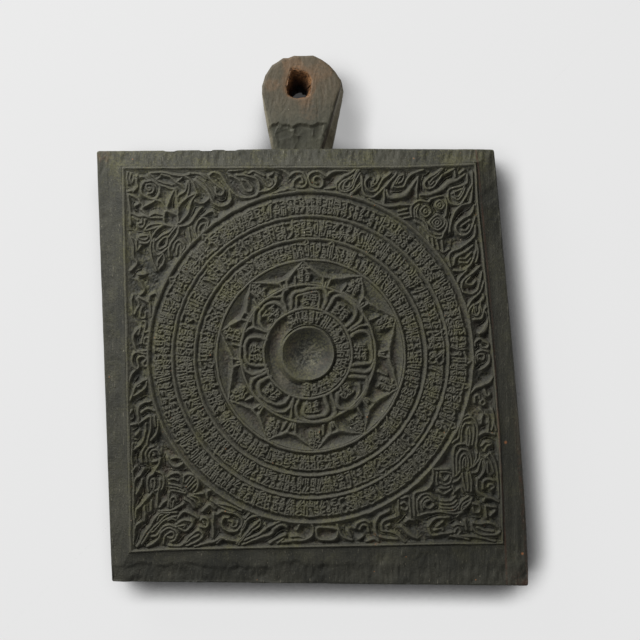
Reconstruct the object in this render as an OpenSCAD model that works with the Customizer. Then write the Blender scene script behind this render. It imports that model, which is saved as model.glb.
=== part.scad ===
// A hand-cut printing block: one thick plank with a waisted, pierced handle cut from the same wood.
// Its face is carved with three rings and three bands of fine relief round a ten-pointed star,
// an eight-petalled lotus and a small cup, with scrolls, flames and leaves in the corners.
// The block lies on its back: +Z is the carved face and +Y points to the handle.
// The origin is the middle of the bottom of its bounding box. Sizes are in millimetres.

/* [Board] */
// Overall width, between the two widest corners
overall_w = 184.9; // [181:0.1:189]
// Overall length, with the handle
overall_l = 227.6; // [224:0.1:231]
// Thickness up to the printing face
overall_t = 30; // [24:0.5:36]
// How far the left edge leans in towards the bottom
left_lean = 6.6; // [5:0.1:8]
// How far the right edge leans in towards the top
right_lean = 14.6; // [13:0.1:16]
// How far the right edge swells beyond a straight line, below its middle
right_swell = 1.4; // [0.5:0.1:2]
// Drop of the top edge from its right end to its left end
top_drop = 1.3; // [0:0.1:2]
// Rise of the bottom edge from its right end to its left end
bottom_rise = 2.5; // [1:0.1:3]
// Radius of the board's four corners
corner_r = 1.6; // [0.5:0.1:3]

/* [Margins] */
// Mean width of the left margin, to the middle of the border line
margin_left = 10.2; // [9.6:0.1:11]
// Mean width of the right margin
margin_right = 8.8; // [8.2:0.1:9.4]
// Mean width of the top margin
margin_top = 7; // [6.4:0.1:8]
// Mean width of the bottom margin
margin_bottom = 15.7; // [15:0.1:17]
// How far the margins lie below the printing face beside the border line
margin_step = 0.9; // [0.5:0.1:1.4]
// How much further they fall on their way to the board's edge
margin_fall = 1.6; // [0.8:0.1:2.4]
// Width of the worn arris along the board's front edges
arris = 0.8; // [0.3:0.1:1.2]

/* [Relief] */
// Depth of the carved field below the printing face
field_depth = 3; // [2.6:0.1:3.6]
// Thickness of the carved ground that each part of the relief stands on
ground_t = 0.6; // [0.4:0.1:0.9]
// Width of the raised border line
border_w = 1.6; // [1.2:0.1:2]
// Width of the thin raised lines
line_w = 0.6; // [0.5:0.05:0.8]
// Width of the heavy raised lines
heavy_w = 1; // [0.8:0.05:1.2]

/* [Rings] */
// Radius of the inner ring, to the middle of its channel
inner_ring_r = 48.8; // [48:0.1:49.6]
// Radius of the middle ring
middle_ring_r = 58.5; // [57.7:0.1:59.2]
// Radius of the outer ring
outer_ring_r = 68.3; // [67.7:0.1:68.6]
// Width of a ring over both its raised lines
ring_w = 4; // [3.6:0.1:4.4]
// Depth of the channel between a ring's two lines
channel_depth = 1.5; // [0.8:0.1:2]

/* [Star and lotus] */
// Radius of the circle that the star's points touch
star_r = 40.5; // [40:0.1:41]
// Radius of the circle round the lotus
lotus_r = 29; // [28.6:0.1:29.4]
// Radius of the circle round the hub
hub_r = 19; // [18.6:0.1:19.4]
// Radius of the cup's mouth
cup_r = 11.5; // [10.5:0.1:12]
// Depth of the cup below its rim
cup_depth = 4.2; // [3.4:0.1:5]

/* [Handle] */
// Length of the handle beyond the board's top edge
handle_l = 39.5; // [37:0.1:43]
// How far the handle's face lies below the printing face
handle_step = 2.2; // [1.5:0.1:3]
// Depth of the scoop cut across the neck beside the board
scoop_depth = 2.6; // [1.5:0.1:3.5]
// Lean of the neck's knife-cut sides from upright, in degrees
side_lean = 13; // [10:0.5:18]
// Radius of the hole for the hanging cord, at its waist
hole_r = 3.5; // [3:0.1:3.6]
// Radius of the hole's worn mouths
mouth_r = 5.9; // [5.9:0.1:6.4]
// Depth of the flared mouth in the face
mouth_depth = 8; // [6:0.5:9]
// Depth of the flared mouth in the back
back_mouth_depth = 5; // [3:0.5:6]

/* [Hidden] */
$fn = 64;

STAINED = [0.29, 0.29, 0.26];
WORN = [0.38, 0.35, 0.30];
BROWN = [0.42, 0.33, 0.25];

face_z = overall_t;
field_z = face_z - field_depth;
margin_z = face_z - margin_step;
edge_z = margin_z - margin_fall;
handle_z = face_z - handle_step;
relief_h = face_z - field_z;

// The board's corners, anticlockwise from the bottom left. The right edge has a fifth, very blunt
// corner, where it swells.
bottom_y = -overall_l / 2;
top_y = overall_l / 2 - handle_l;
bottom_left = [-overall_w / 2 + left_lean, bottom_y + bottom_rise];
bottom_right = [overall_w / 2, bottom_y];
top_right = [overall_w / 2 - right_lean, top_y];
top_left = [-overall_w / 2, top_y - top_drop];
swell_share = 0.31;
swell = bottom_right + (top_right - bottom_right) * swell_share + [right_swell, 0];
board = [bottom_left, bottom_right, swell, top_right, top_left];

// The border was ruled by eye, so its corners sit a little off the mean margins.
border = [
    bottom_left + [margin_left - 1.6, margin_bottom - 2.8],
    bottom_right + [-margin_right - 2, margin_bottom + 3.1],
    top_right + [-margin_right + 2.1, -margin_top + 0.6],
    top_left + [margin_left + 1.7, -margin_top - 0.5]
];

// Where the middle of the carved field lies. All the carving is placed from here, so that it stays
// put when a margin changes.
field_shift = [-0.35, 1];

// The carver struck the rings, the star and the lotus from three slightly different centres.
ring_c = field_shift + [-0.4, -16.1];
star_c = field_shift + [-0.3, -15.6];
lotus_c = field_shift + [-1.5, -14.6];

// Directions of the star's tips and of the knobs between them, as the carver set them out.
TIPS = [-20, 23.5, 57, 95, 130, 165, 207.5, 242, 273, 305];
KNOBS = [1.5, 44.5, 78, 111, 149.5, 185, 225, 255.5, 288, 321.5];

// Outline of the handle's back, clockwise from its left foot, as offsets from the middle of its
// root on the board's top edge. The head is shaped by a dozen straight knife cuts.
handle_c = [-4.65, top_y];
HANDLE = [[-12.8, 0], [-14.9, 9.3], [-16.2, 16.8], [-17.1, 23.3], [-17.1, 26.6], [-15.5, 31.1],
    [-12.6, 35.4], [-7.9, 38.5], [-5.6, 38.5], [-3, 39.5], [5, 39.5], [8.8, 37.7], [12, 35.4],
    [14.7, 32.3], [17, 29.2], [18.2, 24.7], [12.7, 0]];
HANDLE_L0 = 39.5;
hole_off = [-1.2, 25.5];

function unit(v) = v / norm(v);
function left_of(v) = [-v.y, v.x];
function polar(r, a) = [r * cos(a), r * sin(a)];

// Corner i of the anticlockwise polygon q once all its sides have moved inwards by d.
function inset_corner(q, i, d) =
    let (
        n = len(q),
        a = left_of(unit(q[i] - q[(i + n - 1) % n])),
        b = left_of(unit(q[(i + 1) % n] - q[i]))
    )
    q[i] + (a + b) * d / (1 + a * b);
function inset(q, d) = [for (i = [0:len(q) - 1]) inset_corner(q, i, d)];

// The polygon q with each corner rounded by short flats.
function rounded(q, r, flats = 5) = [
    for (i = [0:len(q) - 1])
        let (
            n = len(q),
            c = inset_corner(q, i, r),
            a = -left_of(unit(q[i] - q[(i + n - 1) % n])),
            b = -left_of(unit(q[(i + 1) % n] - q[i]))
        )
        for (k = [0:flats])
            c + r * unit(a * (flats - k) + b * k)
];

// Cuts away all that lies above a plane through side i of the board, at height z on that side
// and rising inwards by the angle given.
module plane_cut(i, z, angle) {
    from = board[i];
    to = board[(i + 1) % len(board)];
    run = to - from;
    over = 12;
    reach = 60;
    translate([from.x, from.y, z])
        rotate([0, 0, atan2(run.y, run.x)])
            rotate([angle, 0, 0])
                translate([-over, -over, 0])
                    cube([norm(run) + 2 * over, reach, reach / 2]);
}

module board_blank() {
    linear_extrude(margin_z)
        polygon(rounded(board, corner_r));
}

// The ball whose bottom shapes the cup.
module cup_ball() {
    ball_r = (cup_r * cup_r + cup_depth * cup_depth) / (2 * cup_depth);
    translate([lotus_c.x, lotus_c.y, face_z - 0.2 - cup_depth + ball_r])
        sphere(ball_r);
}

module block_body() {
    widths = [margin_bottom, margin_right, margin_right, margin_top, margin_left];
    arris_angle = 42;
    color(STAINED)
        difference() {
            board_blank();
            translate([0, 0, field_z])
                linear_extrude(relief_h)
                    polygon(inset(border, -border_w / 2));
            for (i = [0:len(board) - 1]) {
                plane_cut(i, edge_z, atan(margin_fall / widths[i]));
                plane_cut(i, edge_z - arris, arris_angle);
            }
            cup_ball();
        }
}

// One side of the neck, cut by a leaning plane through the line between two points of the face.
module neck_cut(from, to, side) {
    run = to - from;
    over = 20;
    translate([handle_c.x + from.x, handle_c.y + from.y, handle_z])
        rotate([0, 0, atan2(run.y, run.x)])
            rotate([side * side_lean, 0, 0])
                translate([-over, side > 0 ? 0 : -over, -30])
                    cube([norm(run) + 2 * over, over, 60]);
}

// The scoop is part of a wide round groove across the neck, deepest beside the board.
module neck_scoop() {
    reach = 9.6;
    scoop_r = (reach * reach + scoop_depth * scoop_depth) / (2 * scoop_depth);
    translate([handle_c.x, handle_c.y + 0.5, handle_z - scoop_depth + scoop_r])
        rotate([0, 90, 0])
            cylinder(r = scoop_r, h = 50, center = true);
}

// The cord hole is straight at its waist and opens into a worn, flared mouth on each face.
// The front mouth has worn upwards, towards the head's top.
module cord_hole() {
    stretch = handle_l / HANDLE_L0;
    hole = handle_c + hole_off * stretch;
    wear = 2.2;
    translate([hole.x, hole.y, -1])
        cylinder(r = hole_r, h = handle_z + 2);
    translate([hole.x, hole.y + wear, handle_z - mouth_depth])
        cylinder(r1 = hole_r + wear + 0.05, r2 = mouth_r, h = mouth_depth + 0.01);
    translate([hole.x, hole.y, -0.01])
        cylinder(r1 = hole_r + 1.1, r2 = hole_r, h = back_mouth_depth);
}

module handle() {
    stretch = handle_l / HANDLE_L0;
    root_slope = top_drop / (top_right.x - top_left.x);
    outline = [
        for (i = [len(HANDLE) - 1:-1:0])
            let (p = HANDLE[i])
            p.y == 0
                ? [handle_c.x + p.x, top_y - (top_right.x - handle_c.x - p.x) * root_slope]
                : [handle_c.x + p.x, handle_c.y + p.y * stretch]
    ];
    color(BROWN)
        difference() {
            linear_extrude(handle_z)
                polygon(outline);
            neck_cut([-11.3, -0.7], [-16.6, 21.4], 1);
            neck_cut([8.9, 1.5], [16.6, 26.6], -1);
            neck_scoop();
            cord_hole();
        }
}

module border_line() {
    color(WORN)
        translate([0, 0, field_z])
            linear_extrude(relief_h)
                difference() {
                    polygon(inset(border, -border_w / 2));
                    polygon(inset(border, border_w / 2));
                }
}

// A ring is a shallow channel between two thin raised lines, turned from one section.
module channel_ring(r) {
    half = ring_w / 2;
    foot = 0.25;
    floor_h = relief_h - channel_depth;
    color(WORN)
        translate([ring_c.x, ring_c.y, field_z])
            rotate_extrude()
                polygon([
                    [r - half, 0],
                    [r - half, ground_t],
                    [r - half + foot, relief_h],
                    [r - half + foot + line_w, relief_h],
                    [r - half + 2 * foot + line_w, floor_h],
                    [r + half - 2 * foot - line_w, floor_h],
                    [r + half - foot - line_w, relief_h],
                    [r + half - foot, relief_h],
                    [r + half, ground_t],
                    [r + half, 0]
                ]);
}

// A single raised line, a little wider at its foot.
module line_ring(c, r) {
    half = heavy_w / 2;
    foot = 0.3;
    color(WORN)
        translate([c.x, c.y, field_z])
            rotate_extrude()
                polygon([
                    [r - half - foot, 0],
                    [r - half - foot, ground_t],
                    [r - half, relief_h],
                    [r + half, relief_h],
                    [r + half + foot, ground_t],
                    [r + half + foot, 0]
                ]);
}

line_half = heavy_w / 2 + 0.3;

// Ground of a zone between two circles that needn't share a centre.
module between(c_out, r_out, c_in, r_in) {
    difference() {
        translate(c_out)
            circle(r_out);
        translate(c_in)
            circle(r_in);
    }
}

// One raised mark of a band: a plain bar, a bar with a notch or a pair of bars, by turns.
// It stands on the x axis between two radii. The marks spell nothing.
module mark(kind, r_in, r_out, w) {
    h = r_out - r_in;
    if (kind == 0)
        translate([r_in, -w / 2])
            square([h, w]);
    if (kind == 1)
        difference() {
            translate([r_in, -w / 2])
                square([h, w]);
            translate([r_in + h * 0.3, -0.01])
                square([h * 0.4, w]);
        }
    if (kind == 2)
        for (s = [0, 1])
            translate([r_in + s * h * 0.58, -w / 2])
                square([h * 0.42, w]);
    if (kind == 3)
        for (s = [-1, 1])
            translate([r_in, s * w * 0.3 - w * 0.16])
                square([h, w * 0.32]);
}

// A band's marks from angle a0 on, n of them with the same step and a gap between each two.
module marks(c, r_in, r_out, n, a0, step) {
    gap = 0.9;
    w = (r_in + r_out) / 2 * step * PI / 180 - gap;
    translate(c)
        for (i = [0:n - 1])
            rotate(a0 + i * step)
                mark((i * i + i) % 7 % 4, r_in, r_out, w);
}

module ring_band(r_in, r_out, n) {
    low = r_in + ring_w / 2;
    high = r_out - ring_w / 2;
    color(STAINED)
        translate([0, 0, field_z]) {
            linear_extrude(ground_t)
                between(ring_c, high, ring_c, low);
            linear_extrude(relief_h)
                marks(ring_c, low + 0.4, high - 0.4, n, 0, 360 / n);
        }
}

module inner_band() {
    low = star_r + line_half;
    high = inner_ring_r - ring_w / 2;
    n = 58;
    color(STAINED)
        translate([0, 0, field_z]) {
            linear_extrude(ground_t)
                between(ring_c, high, star_c, low);
            linear_extrude(relief_h)
                marks(ring_c, low + 0.9, high - 0.4, n, 0, 360 / n);
        }
}

// The hub's band is carved on two thirds of its round. The rest is a plain channel.
module hub_band() {
    low = cup_r + 1.7;
    high = hub_r - line_half;
    color(STAINED)
        translate([0, 0, field_z]) {
            linear_extrude(ground_t)
                between(lotus_c, high, lotus_c, low);
            linear_extrude(relief_h)
                marks(lotus_c, low + 0.4, high - 0.4, 22, -95, 11.4);
        }
}

module cup() {
    color(WORN)
        difference() {
            translate([lotus_c.x, lotus_c.y, field_z])
                rotate_extrude()
                    polygon([
                        [0, 0],
                        [cup_r + 1.7, 0],
                        [cup_r + 1.7, ground_t],
                        [cup_r + 0.8, relief_h - 0.2],
                        [0, relief_h - 0.2]
                    ]);
            cup_ball();
        }
}

// The star's outline runs from tip to knob and round again.
knob_r = 32.6;
knob_half = 1.6;
function star_outline(tip_r) = [
    for (i = [0:9])
        let (tip = TIPS[i], knob = KNOBS[i], half = knob_half / knob_r * 180 / PI)
        each [
            polar(tip_r, tip),
            polar(knob_r, knob - half),
            polar(knob_r, knob + half)
        ]
];

// A knob narrows towards the lotus and has a small three-sided pit in its top.
module knob_blank() {
    polygon([[lotus_r + 0.9, -1], [knob_r, -knob_half], [knob_r, knob_half], [lotus_r + 0.9, 1]]);
}

module knob_pit() {
    polygon([[knob_r - 2.1, 0], [knob_r - 0.7, -0.9], [knob_r - 0.7, 0.9]]);
}

// A small raised boss with two flanking bars fills each point of the star.
module point_filling() {
    translate([36.6, 0])
        circle(0.8);
    for (s = [-1, 0, 1])
        translate([31.6, s * 1.7 - 0.55])
            square([3.2 - abs(s) * 0.7, 1.1]);
}

module star() {
    path = star_outline(star_r - line_half + 0.15);
    color(WORN)
        translate([0, 0, field_z]) {
            linear_extrude(ground_t)
                between(star_c, star_r - line_half, lotus_c, lotus_r + line_half);
            translate(star_c) {
                linear_extrude(relief_h)
                    intersection() {
                        circle(star_r - line_half);
                        difference() {
                            polygon(path);
                            polygon(inset(path, heavy_w));
                        }
                    }
                for (a = TIPS)
                    rotate(a)
                        linear_extrude(relief_h - 0.3)
                            point_filling();
                for (a = KNOBS)
                    rotate(a)
                        difference() {
                            linear_extrude(relief_h)
                                knob_blank();
                            translate([0, 0, relief_h - 1])
                                linear_extrude(2)
                                    knob_pit();
                        }
            }
        }
}

// A round-cornered arch that opens towards the centre, as a solid outline.
function arch(foot_r, top_r, foot_half, half, corner) =
    let (c = top_r - corner)
    concat(
        [[foot_r, -foot_half]],
        [for (a = [-90:18:0]) [c + corner * cos(a), -half + corner + corner * sin(a)]],
        [for (a = [0:18:90]) [c + corner * cos(a), half - corner + corner * sin(a)]],
        [[foot_r, foot_half]]
    );

// A petal of the front row: a heavy rim, a thin outer line and a filling of three bars.
module petal() {
    foot_r = hub_r + line_half + 0.3;
    rim_r = lotus_r - line_half - 1.9;
    line_r = lotus_r - line_half - 0.3;
    difference() {
        polygon(arch(foot_r, rim_r, 4.9, 6.4, 3));
        polygon(arch(foot_r - 1, rim_r - heavy_w, 4, 5.4, 2.2));
    }
    difference() {
        polygon(arch(foot_r, line_r, 6.6, 8.4, 5.6));
        polygon(arch(foot_r - 1, line_r - line_w, 6, 7.8, 5));
    }
    for (s = [-1, 0, 1])
        translate([foot_r + 1.4, s * 2 - 0.65])
            square([3.4 - abs(s) * 0.8, 1.3]);
}

// The tip of a petal of the back row shows between each two of the front row.
module back_petal() {
    tip_r = lotus_r - line_half - 0.3;
    polygon([[tip_r - 5.2, -0.25], [tip_r - 1.6, -0.5], [tip_r, -1.7], [tip_r, 1.7],
        [tip_r - 1.6, 0.5], [tip_r - 5.2, 0.25]]);
}

module lotus() {
    color(WORN)
        translate([0, 0, field_z]) {
            linear_extrude(ground_t)
                between(lotus_c, lotus_r - line_half, lotus_c, hub_r + line_half);
            linear_extrude(relief_h)
                translate(lotus_c)
                    for (k = [0:7]) {
                        rotate(45 * k)
                            petal();
                        rotate(45 * k + 22.5)
                            back_petal();
                    }
        }
}

// Ground of the ornament between the border and the outer ring, from one direction to another.
module ornament_ground(a0, a1) {
    far = 190;
    intersection() {
        polygon(inset(border, border_w / 2));
        translate(ring_c)
            polygon([[0, 0], polar(far, a0), polar(far, (a0 + a1) / 2), polar(far, a1)]);
        difference() {
            square(300, center = true);
            translate(ring_c)
                circle(outer_ring_r + ring_w / 2);
        }
    }
}

// Puts a flat shape at a place of the field, turned by an angle.
module at(x, y, angle = 0) {
    translate([x, y])
        rotate(angle)
            children();
}

// A flame or cloud curl: a round head with a boss and a tapering tail along +X.
module curl(r, tail) {
    difference() {
        union() {
            circle(r);
            polygon([[0, -r * 0.98], [tail * 0.55, -r * 0.2], [tail, r * 0.5],
                [tail * 0.45, r * 0.75], [0, r * 0.98]]);
        }
        circle(r - heavy_w);
    }
    circle(r * 0.4);
}

// A teardrop along +X: a round body drawn out to a point.
module drop(r, l) {
    lean = acos(r / l);
    circle(r);
    polygon([polar(r * 0.98, -lean), [l, 0], polar(r * 0.98, lean)]);
}

// A flame: a curl inside a raised teardrop line.
module flame(r, l) {
    wall = line_w * 1.3;
    difference() {
        drop(r, l);
        drop(r - wall, l - 3.2 * wall);
    }
    curl(r * 0.56, l * 0.5);
}

// A raised line bent along part of a circle, which spans the angle half on each side of +X.
module bow(r, half) {
    wall = line_w * 1.5;
    intersection() {
        difference() {
            circle(r + wall / 2);
            circle(r - wall / 2);
        }
        polygon([[0, 0], polar(2 * r, -half), [3 * r, 0], polar(2 * r, half)]);
    }
}

// A leaf between two equal arcs, pointing along +X, with a sunk middle.
module leaf(l, w) {
    arc_r = (l * l / 4 + w * w / 4) / w;
    difference() {
        lens(l, w, arc_r);
        translate([heavy_w * 1.3, 0])
            lens(l - 2.6 * heavy_w, w - 1.6 * heavy_w,
                (pow(l - 2.6 * heavy_w, 2) / 4 + pow(w - 1.6 * heavy_w, 2) / 4) / (w - 1.6 * heavy_w));
    }
}

module lens(l, w, arc_r) {
    intersection() {
        translate([l / 2, w / 2 - arc_r])
            circle(arc_r);
        translate([l / 2, arc_r - w / 2])
            circle(arc_r);
    }
}

// Rings one inside the other round a boss.
module rings(r, count) {
    for (i = [0:count - 1])
        difference() {
            circle(r - i * 1.7);
            circle(r - i * 1.7 - line_w * 1.3);
        }
    circle(max(0.7, r - count * 1.7));
}

// Upright hoops one inside the other, open at the foot, with legs along -Y.
module hoops(r, leg, count) {
    for (i = [0:count - 1])
        difference() {
            hoop_blank(r - i * 1.7, leg);
            hoop_blank(r - i * 1.7 - line_w * 1.3, leg + 1);
        }
}

module hoop_blank(r, leg) {
    circle(r);
    translate([-r, -leg])
        square([2 * r, leg]);
}

// A flower seen from the front: a boss in a ring with straight rays round it.
module wheel_flower(r, rays) {
    rings(r * 0.32, 1);
    for (i = [0:rays - 1])
        rotate(i * 360 / rays)
            polygon([[r * 0.42, -0.3], [r, -0.75], [r, 0.75], [r * 0.42, 0.3]]);
}

// Parallel raised bars, evenly spaced along +Y and pointing along +X.
module fingers(count, l, pitch) {
    for (i = [0:count - 1])
        translate([0, (i - (count - 1) / 2) * pitch - 0.45])
            square([l, 0.9]);
}

// A zone of the ornament: its ground, with the flat shapes given raised to the printing face.
module ornament(a0, a1) {
    color(STAINED)
        translate([0, 0, field_z]) {
            linear_extrude(ground_t)
                ornament_ground(a0, a1);
            linear_extrude(relief_h)
                intersection() {
                    ornament_ground(a0, a1);
                    translate(field_shift)
                        children();
                }
        }
}

// Directions, from the rings' centre, of the joints between the eight zones.
ZONES = [16, 74, 106, 159, 201, 253, 291, 343];

module corner_top_right() {
    ornament(ZONES[0], ZONES[1]) {
        at(25.8, 56.1, 52) flame(4, 9.2);
        at(37.5, 57.6, 48) flame(4.4, 9.8);
        at(50.4, 58, 52) flame(3.8, 8.8);
        at(33.5, 50.6, 30) leaf(12.5, 3.4);
        at(45.8, 51.9, 20) leaf(14.6, 3.6);
        at(58.4, 60.6, 58) leaf(5, 2.2);
        at(62.4, 52.6, 62) flame(4.2, 11.4);
        at(68.3, 54.4, 84) leaf(8.6, 1.9);
        at(65, 39.4, 62) flame(4.6, 12.4);
        at(70.5, 40.6, 82) leaf(7.4, 1.9);
        at(64.6, 25.8, 60) flame(4.6, 12);
        at(70.2, 26.4, 78) leaf(7.4, 2);
        at(68, 14.8, 64) flame(3.7, 10.4);
        at(71, 38.4, 178) bow(12.2, 32);
        at(72.6, 24.6, 176) bow(14.2, 20);
        at(48.2, 45.4) rings(3.3, 1);
        at(54.8, 48.4) rings(2.9, 1);
        at(54, 41.2) rings(3.4, 1);
        at(40.8, 44.6, -30) fingers(2, 4.4, 1.9);
        at(57.2, 31.6, 100) fingers(3, 5, 1.9);
    }
}

module edge_top() {
    ornament(ZONES[1], ZONES[2]) {
        at(-17.4, 58.2, 150) flame(3.7, 8.4);
        at(-10.8, 57.6) rings(2.7, 1);
        at(-4.3, 58.4) rings(3.5, 2);
        at(3.6, 58.8) rings(3.4, 2);
        at(8.4, 60.6, 14) leaf(9, 2.4);
        at(8.4, 56.4, 4) leaf(6, 2);
        at(16.2, 57.6, 56) flame(3.2, 8);
    }
}

module corner_top_left() {
    ornament(ZONES[2], ZONES[3]) {
        at(-57.2, 43.4, 93) leaf(13, 4.6);
        at(-55.6, 41.6, 55) leaf(14, 4.4);
        at(-59.6, 43.4, 143) leaf(15, 5);
        at(-60, 40.2, 172) leaf(12, 3.6);
        at(-58.4, 37.8, 212) leaf(15, 5.4);
        at(-55.4, 37.6, 246) leaf(11, 3.8);
        at(-52.6, 40.2, 34) leaf(10, 2.8);
        at(-57.4, 40.6) rings(1.9, 1);
        at(-63.6, 47.2, 116) leaf(13.4, 3.4);
        at(-69.3, 55.8) rings(3.8, 2);
        at(-75.6, 50.6) rings(2.4, 1);
        at(-76.6, 58, 60) leaf(6, 2.4);
        at(-74.9, 43.4, 150) hoops(1.9, 2.6, 1);
        at(-73.2, 35.4, 90) hoops(2.6, 3.4, 1);
        at(-52.4, 57, 106) leaf(6.6, 2.4);
        at(-45.6, 47.4, 112) leaf(12.4, 3.2);
        at(-38.6, 53.4, 140) flame(4.6, 14.6);
        at(-27, 56.4, 146) flame(4.4, 12.2);
        at(-46.2, 40.6, -28) hoops(2.7, 5, 1);
        at(-62, 26.4, -40) hoops(2.8, 4, 1);
        at(-71.4, 27.2, 214) leaf(7, 2.8);
        at(-68.4, 18.6, 100) leaf(10, 3.2);
        at(-74.4, 16.8) rings(2.6, 1);
    }
}

module edge_left() {
    ornament(ZONES[3], ZONES[4]) {
        at(-73.6, 5.6, 100) flame(2.9, 7.4);
        at(-72.2, -5.6, 250) leaf(9, 3);
        at(-76.6, -3.4, 264) leaf(8, 2);
        at(-73.6, -17) rings(3, 1);
        at(-74, -27.8, 242) flame(2.8, 8);
        at(-71.4, -35.6, 246) leaf(9.6, 2.6);
    }
}

module corner_bottom_left() {
    ornament(ZONES[4], ZONES[5]) {
        at(-69.2, -43.4, -10) hoops(2.6, 7, 2);
        at(-75.6, -54.6, 80) leaf(9, 2.4);
        at(-67.6, -57.8) rings(4.4, 2);
        at(-58.6, -60.2, 180) hoops(3, 1.5, 1);
        at(-53.8, -74.2) wheel_flower(6, 14);
        at(-53.8, -74.2, 100) bow(7.4, 50);
        at(-74.6, -69, 78) leaf(9, 2.6);
        at(-67.4, -70.4, 12) hoops(2.8, 5, 2);
        at(-61.4, -68.2, 250) leaf(9, 2.4);
        at(-75, -84.4, 84) leaf(8, 2.2);
        at(-74, -95.4, 70) leaf(16, 3.2);
        at(-70.6, -94.6, 56) leaf(17, 3.2);
        at(-67.2, -95.4, 42) leaf(14, 3);
        at(-60, -91.8, -40) hoops(2.7, 4, 1);
        at(-58.4, -84.4, 20) leaf(9.6, 2.8);
        at(-54.2, -95.4, 36) leaf(12, 3);
        at(-45.4, -86.4) rings(2.5, 1);
        at(-42.4, -95.4, 8) leaf(11, 2.6);
        at(-34.4, -87, 50) flame(4.7, 9.4);
    }
}

module edge_bottom() {
    ornament(ZONES[5], ZONES[6]) {
        at(-31, -95.4, 60) leaf(10, 2.6);
        at(-28.4, -95.8, 34) leaf(17, 3.2);
        at(-21.6, -96.2, 12) leaf(12, 2.4);
        at(-9.8, -91.6, 240) hoops(2.2, 2, 1);
        at(-3.2, -91.4) rings(3.2, 1);
        at(3.2, -94) difference() {
            square([8, 5.4]);
            translate([heavy_w, heavy_w])
                square([8 - 2 * heavy_w, 5.4 - 2 * heavy_w]);
        }
        at(13.8, -92.6) hoops(1.9, 1.8, 1);
        at(20.4, -90.4, 200) flame(3.3, 5.6);
    }
}

module corner_bottom_right() {
    ornament(ZONES[6], ZONES[7]) {
        at(68, -44.6) hoops(3.9, 8.6, 2);
        at(75, -41.6, 82) leaf(8, 2.6);
        at(64.6, -58.8) hoops(4.4, 6.6, 2);
        at(65.2, -70.8, 180) hoops(3.9, 4.2, 2);
        at(57.2, -67.4) rings(3.4, 1);
        at(49.6, -79) rings(5, 2);
        at(57.4, -79.2, -90) hoops(3.2, 3, 2);
        at(39.6, -80.4) hoops(2.4, 5, 1);
        at(32.4, -88, 214) flame(4.7, 8.4);
        at(40.6, -89.8, -8) leaf(8.4, 2.4);
        at(46, -91.4, 14) leaf(15, 4.2);
        at(52, -84.6, 4) leaf(8, 2.2);
        at(63.4, -79.6, 250) leaf(8.4, 2.6);
        at(75.6, -70.4) rings(3.1, 1);
        at(72.8, -64.4, 68) leaf(7.4, 3);
        at(74.8, -52.8) rings(2.4, 1);
        at(76, -79.6, 14) bow(4.2, 56);
        at(74.2, -79.8, 14) bow(2.6, 56);
        at(68.9, -80.6) rings(2.6, 1);
        at(71, -89.4, 4) leaf(8.6, 3.4);
        at(62.6, -92.4, 8) leaf(8, 2.6);
    }
}

module edge_right() {
    ornament(ZONES[7], ZONES[0] + 360) {
        at(72, 1.4, 72) flame(3, 8.2);
        at(72.9, -8.4) rings(2.8, 1);
        at(72.4, -16.2) rings(2.7, 1);
        at(76.6, -20.6, 240) leaf(7, 2);
        at(69.6, -29.8, 32) leaf(8.4, 2.8);
        at(73.2, -35.4) rings(2.1, 1);
    }
}

block_body();
handle();
border_line();
channel_ring(outer_ring_r);  // outer_ring
channel_ring(middle_ring_r);  // middle_ring
channel_ring(inner_ring_r);  // inner_ring
line_ring(star_c, star_r);  // star_ring
line_ring(lotus_c, lotus_r);  // lotus_ring
line_ring(lotus_c, hub_r);  // hub_ring
ring_band(middle_ring_r, outer_ring_r, 78);  // outer_band
ring_band(inner_ring_r, middle_ring_r, 66);  // middle_band
inner_band();
hub_band();
star();
lotus();
cup();
corner_top_left();
corner_top_right();
corner_bottom_right();
corner_bottom_left();
edge_top();
edge_right();
edge_bottom();
edge_left();
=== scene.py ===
import functools
import math
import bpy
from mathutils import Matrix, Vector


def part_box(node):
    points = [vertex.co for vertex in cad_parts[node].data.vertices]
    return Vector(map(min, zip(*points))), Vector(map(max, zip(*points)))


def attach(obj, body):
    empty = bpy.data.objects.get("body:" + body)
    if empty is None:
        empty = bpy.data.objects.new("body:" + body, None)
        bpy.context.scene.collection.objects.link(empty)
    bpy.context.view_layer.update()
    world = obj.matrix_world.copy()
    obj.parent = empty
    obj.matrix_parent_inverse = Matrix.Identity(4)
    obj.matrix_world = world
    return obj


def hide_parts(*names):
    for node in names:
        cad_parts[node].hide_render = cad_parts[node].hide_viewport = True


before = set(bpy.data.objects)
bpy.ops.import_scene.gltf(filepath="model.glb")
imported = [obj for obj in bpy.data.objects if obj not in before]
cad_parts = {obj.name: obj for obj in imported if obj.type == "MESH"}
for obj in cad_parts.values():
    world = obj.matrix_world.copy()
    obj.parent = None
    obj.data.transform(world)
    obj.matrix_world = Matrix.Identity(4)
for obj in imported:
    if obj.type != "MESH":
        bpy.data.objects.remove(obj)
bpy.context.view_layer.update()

from types import SimpleNamespace

import bpy
import numpy as np
from bpy.props import FloatProperty, FloatVectorProperty, IntProperty, PointerProperty
from bpy.types import Operator, Panel, PropertyGroup

bl_info = {
    "name": "Carved printing block",
    "version": (1, 0, 0),
    "blender": (4, 5, 0),
    "location": "3D View > Sidebar > Printing Block",
    "description": "Carves the relief of a hand-cut printing block over its packed frame",
    "category": "Object",
}

# Places are in millimetres in the part's own frame: +Y points to the handle and the printing
# face is up. They become metres only when they are written into a mesh.
MM = 0.001

FACE_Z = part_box("border_line")[1].z / MM
SEAT_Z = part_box("border_line")[0].z / MM
HANDLE_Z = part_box("handle")[1].z / MM

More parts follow.
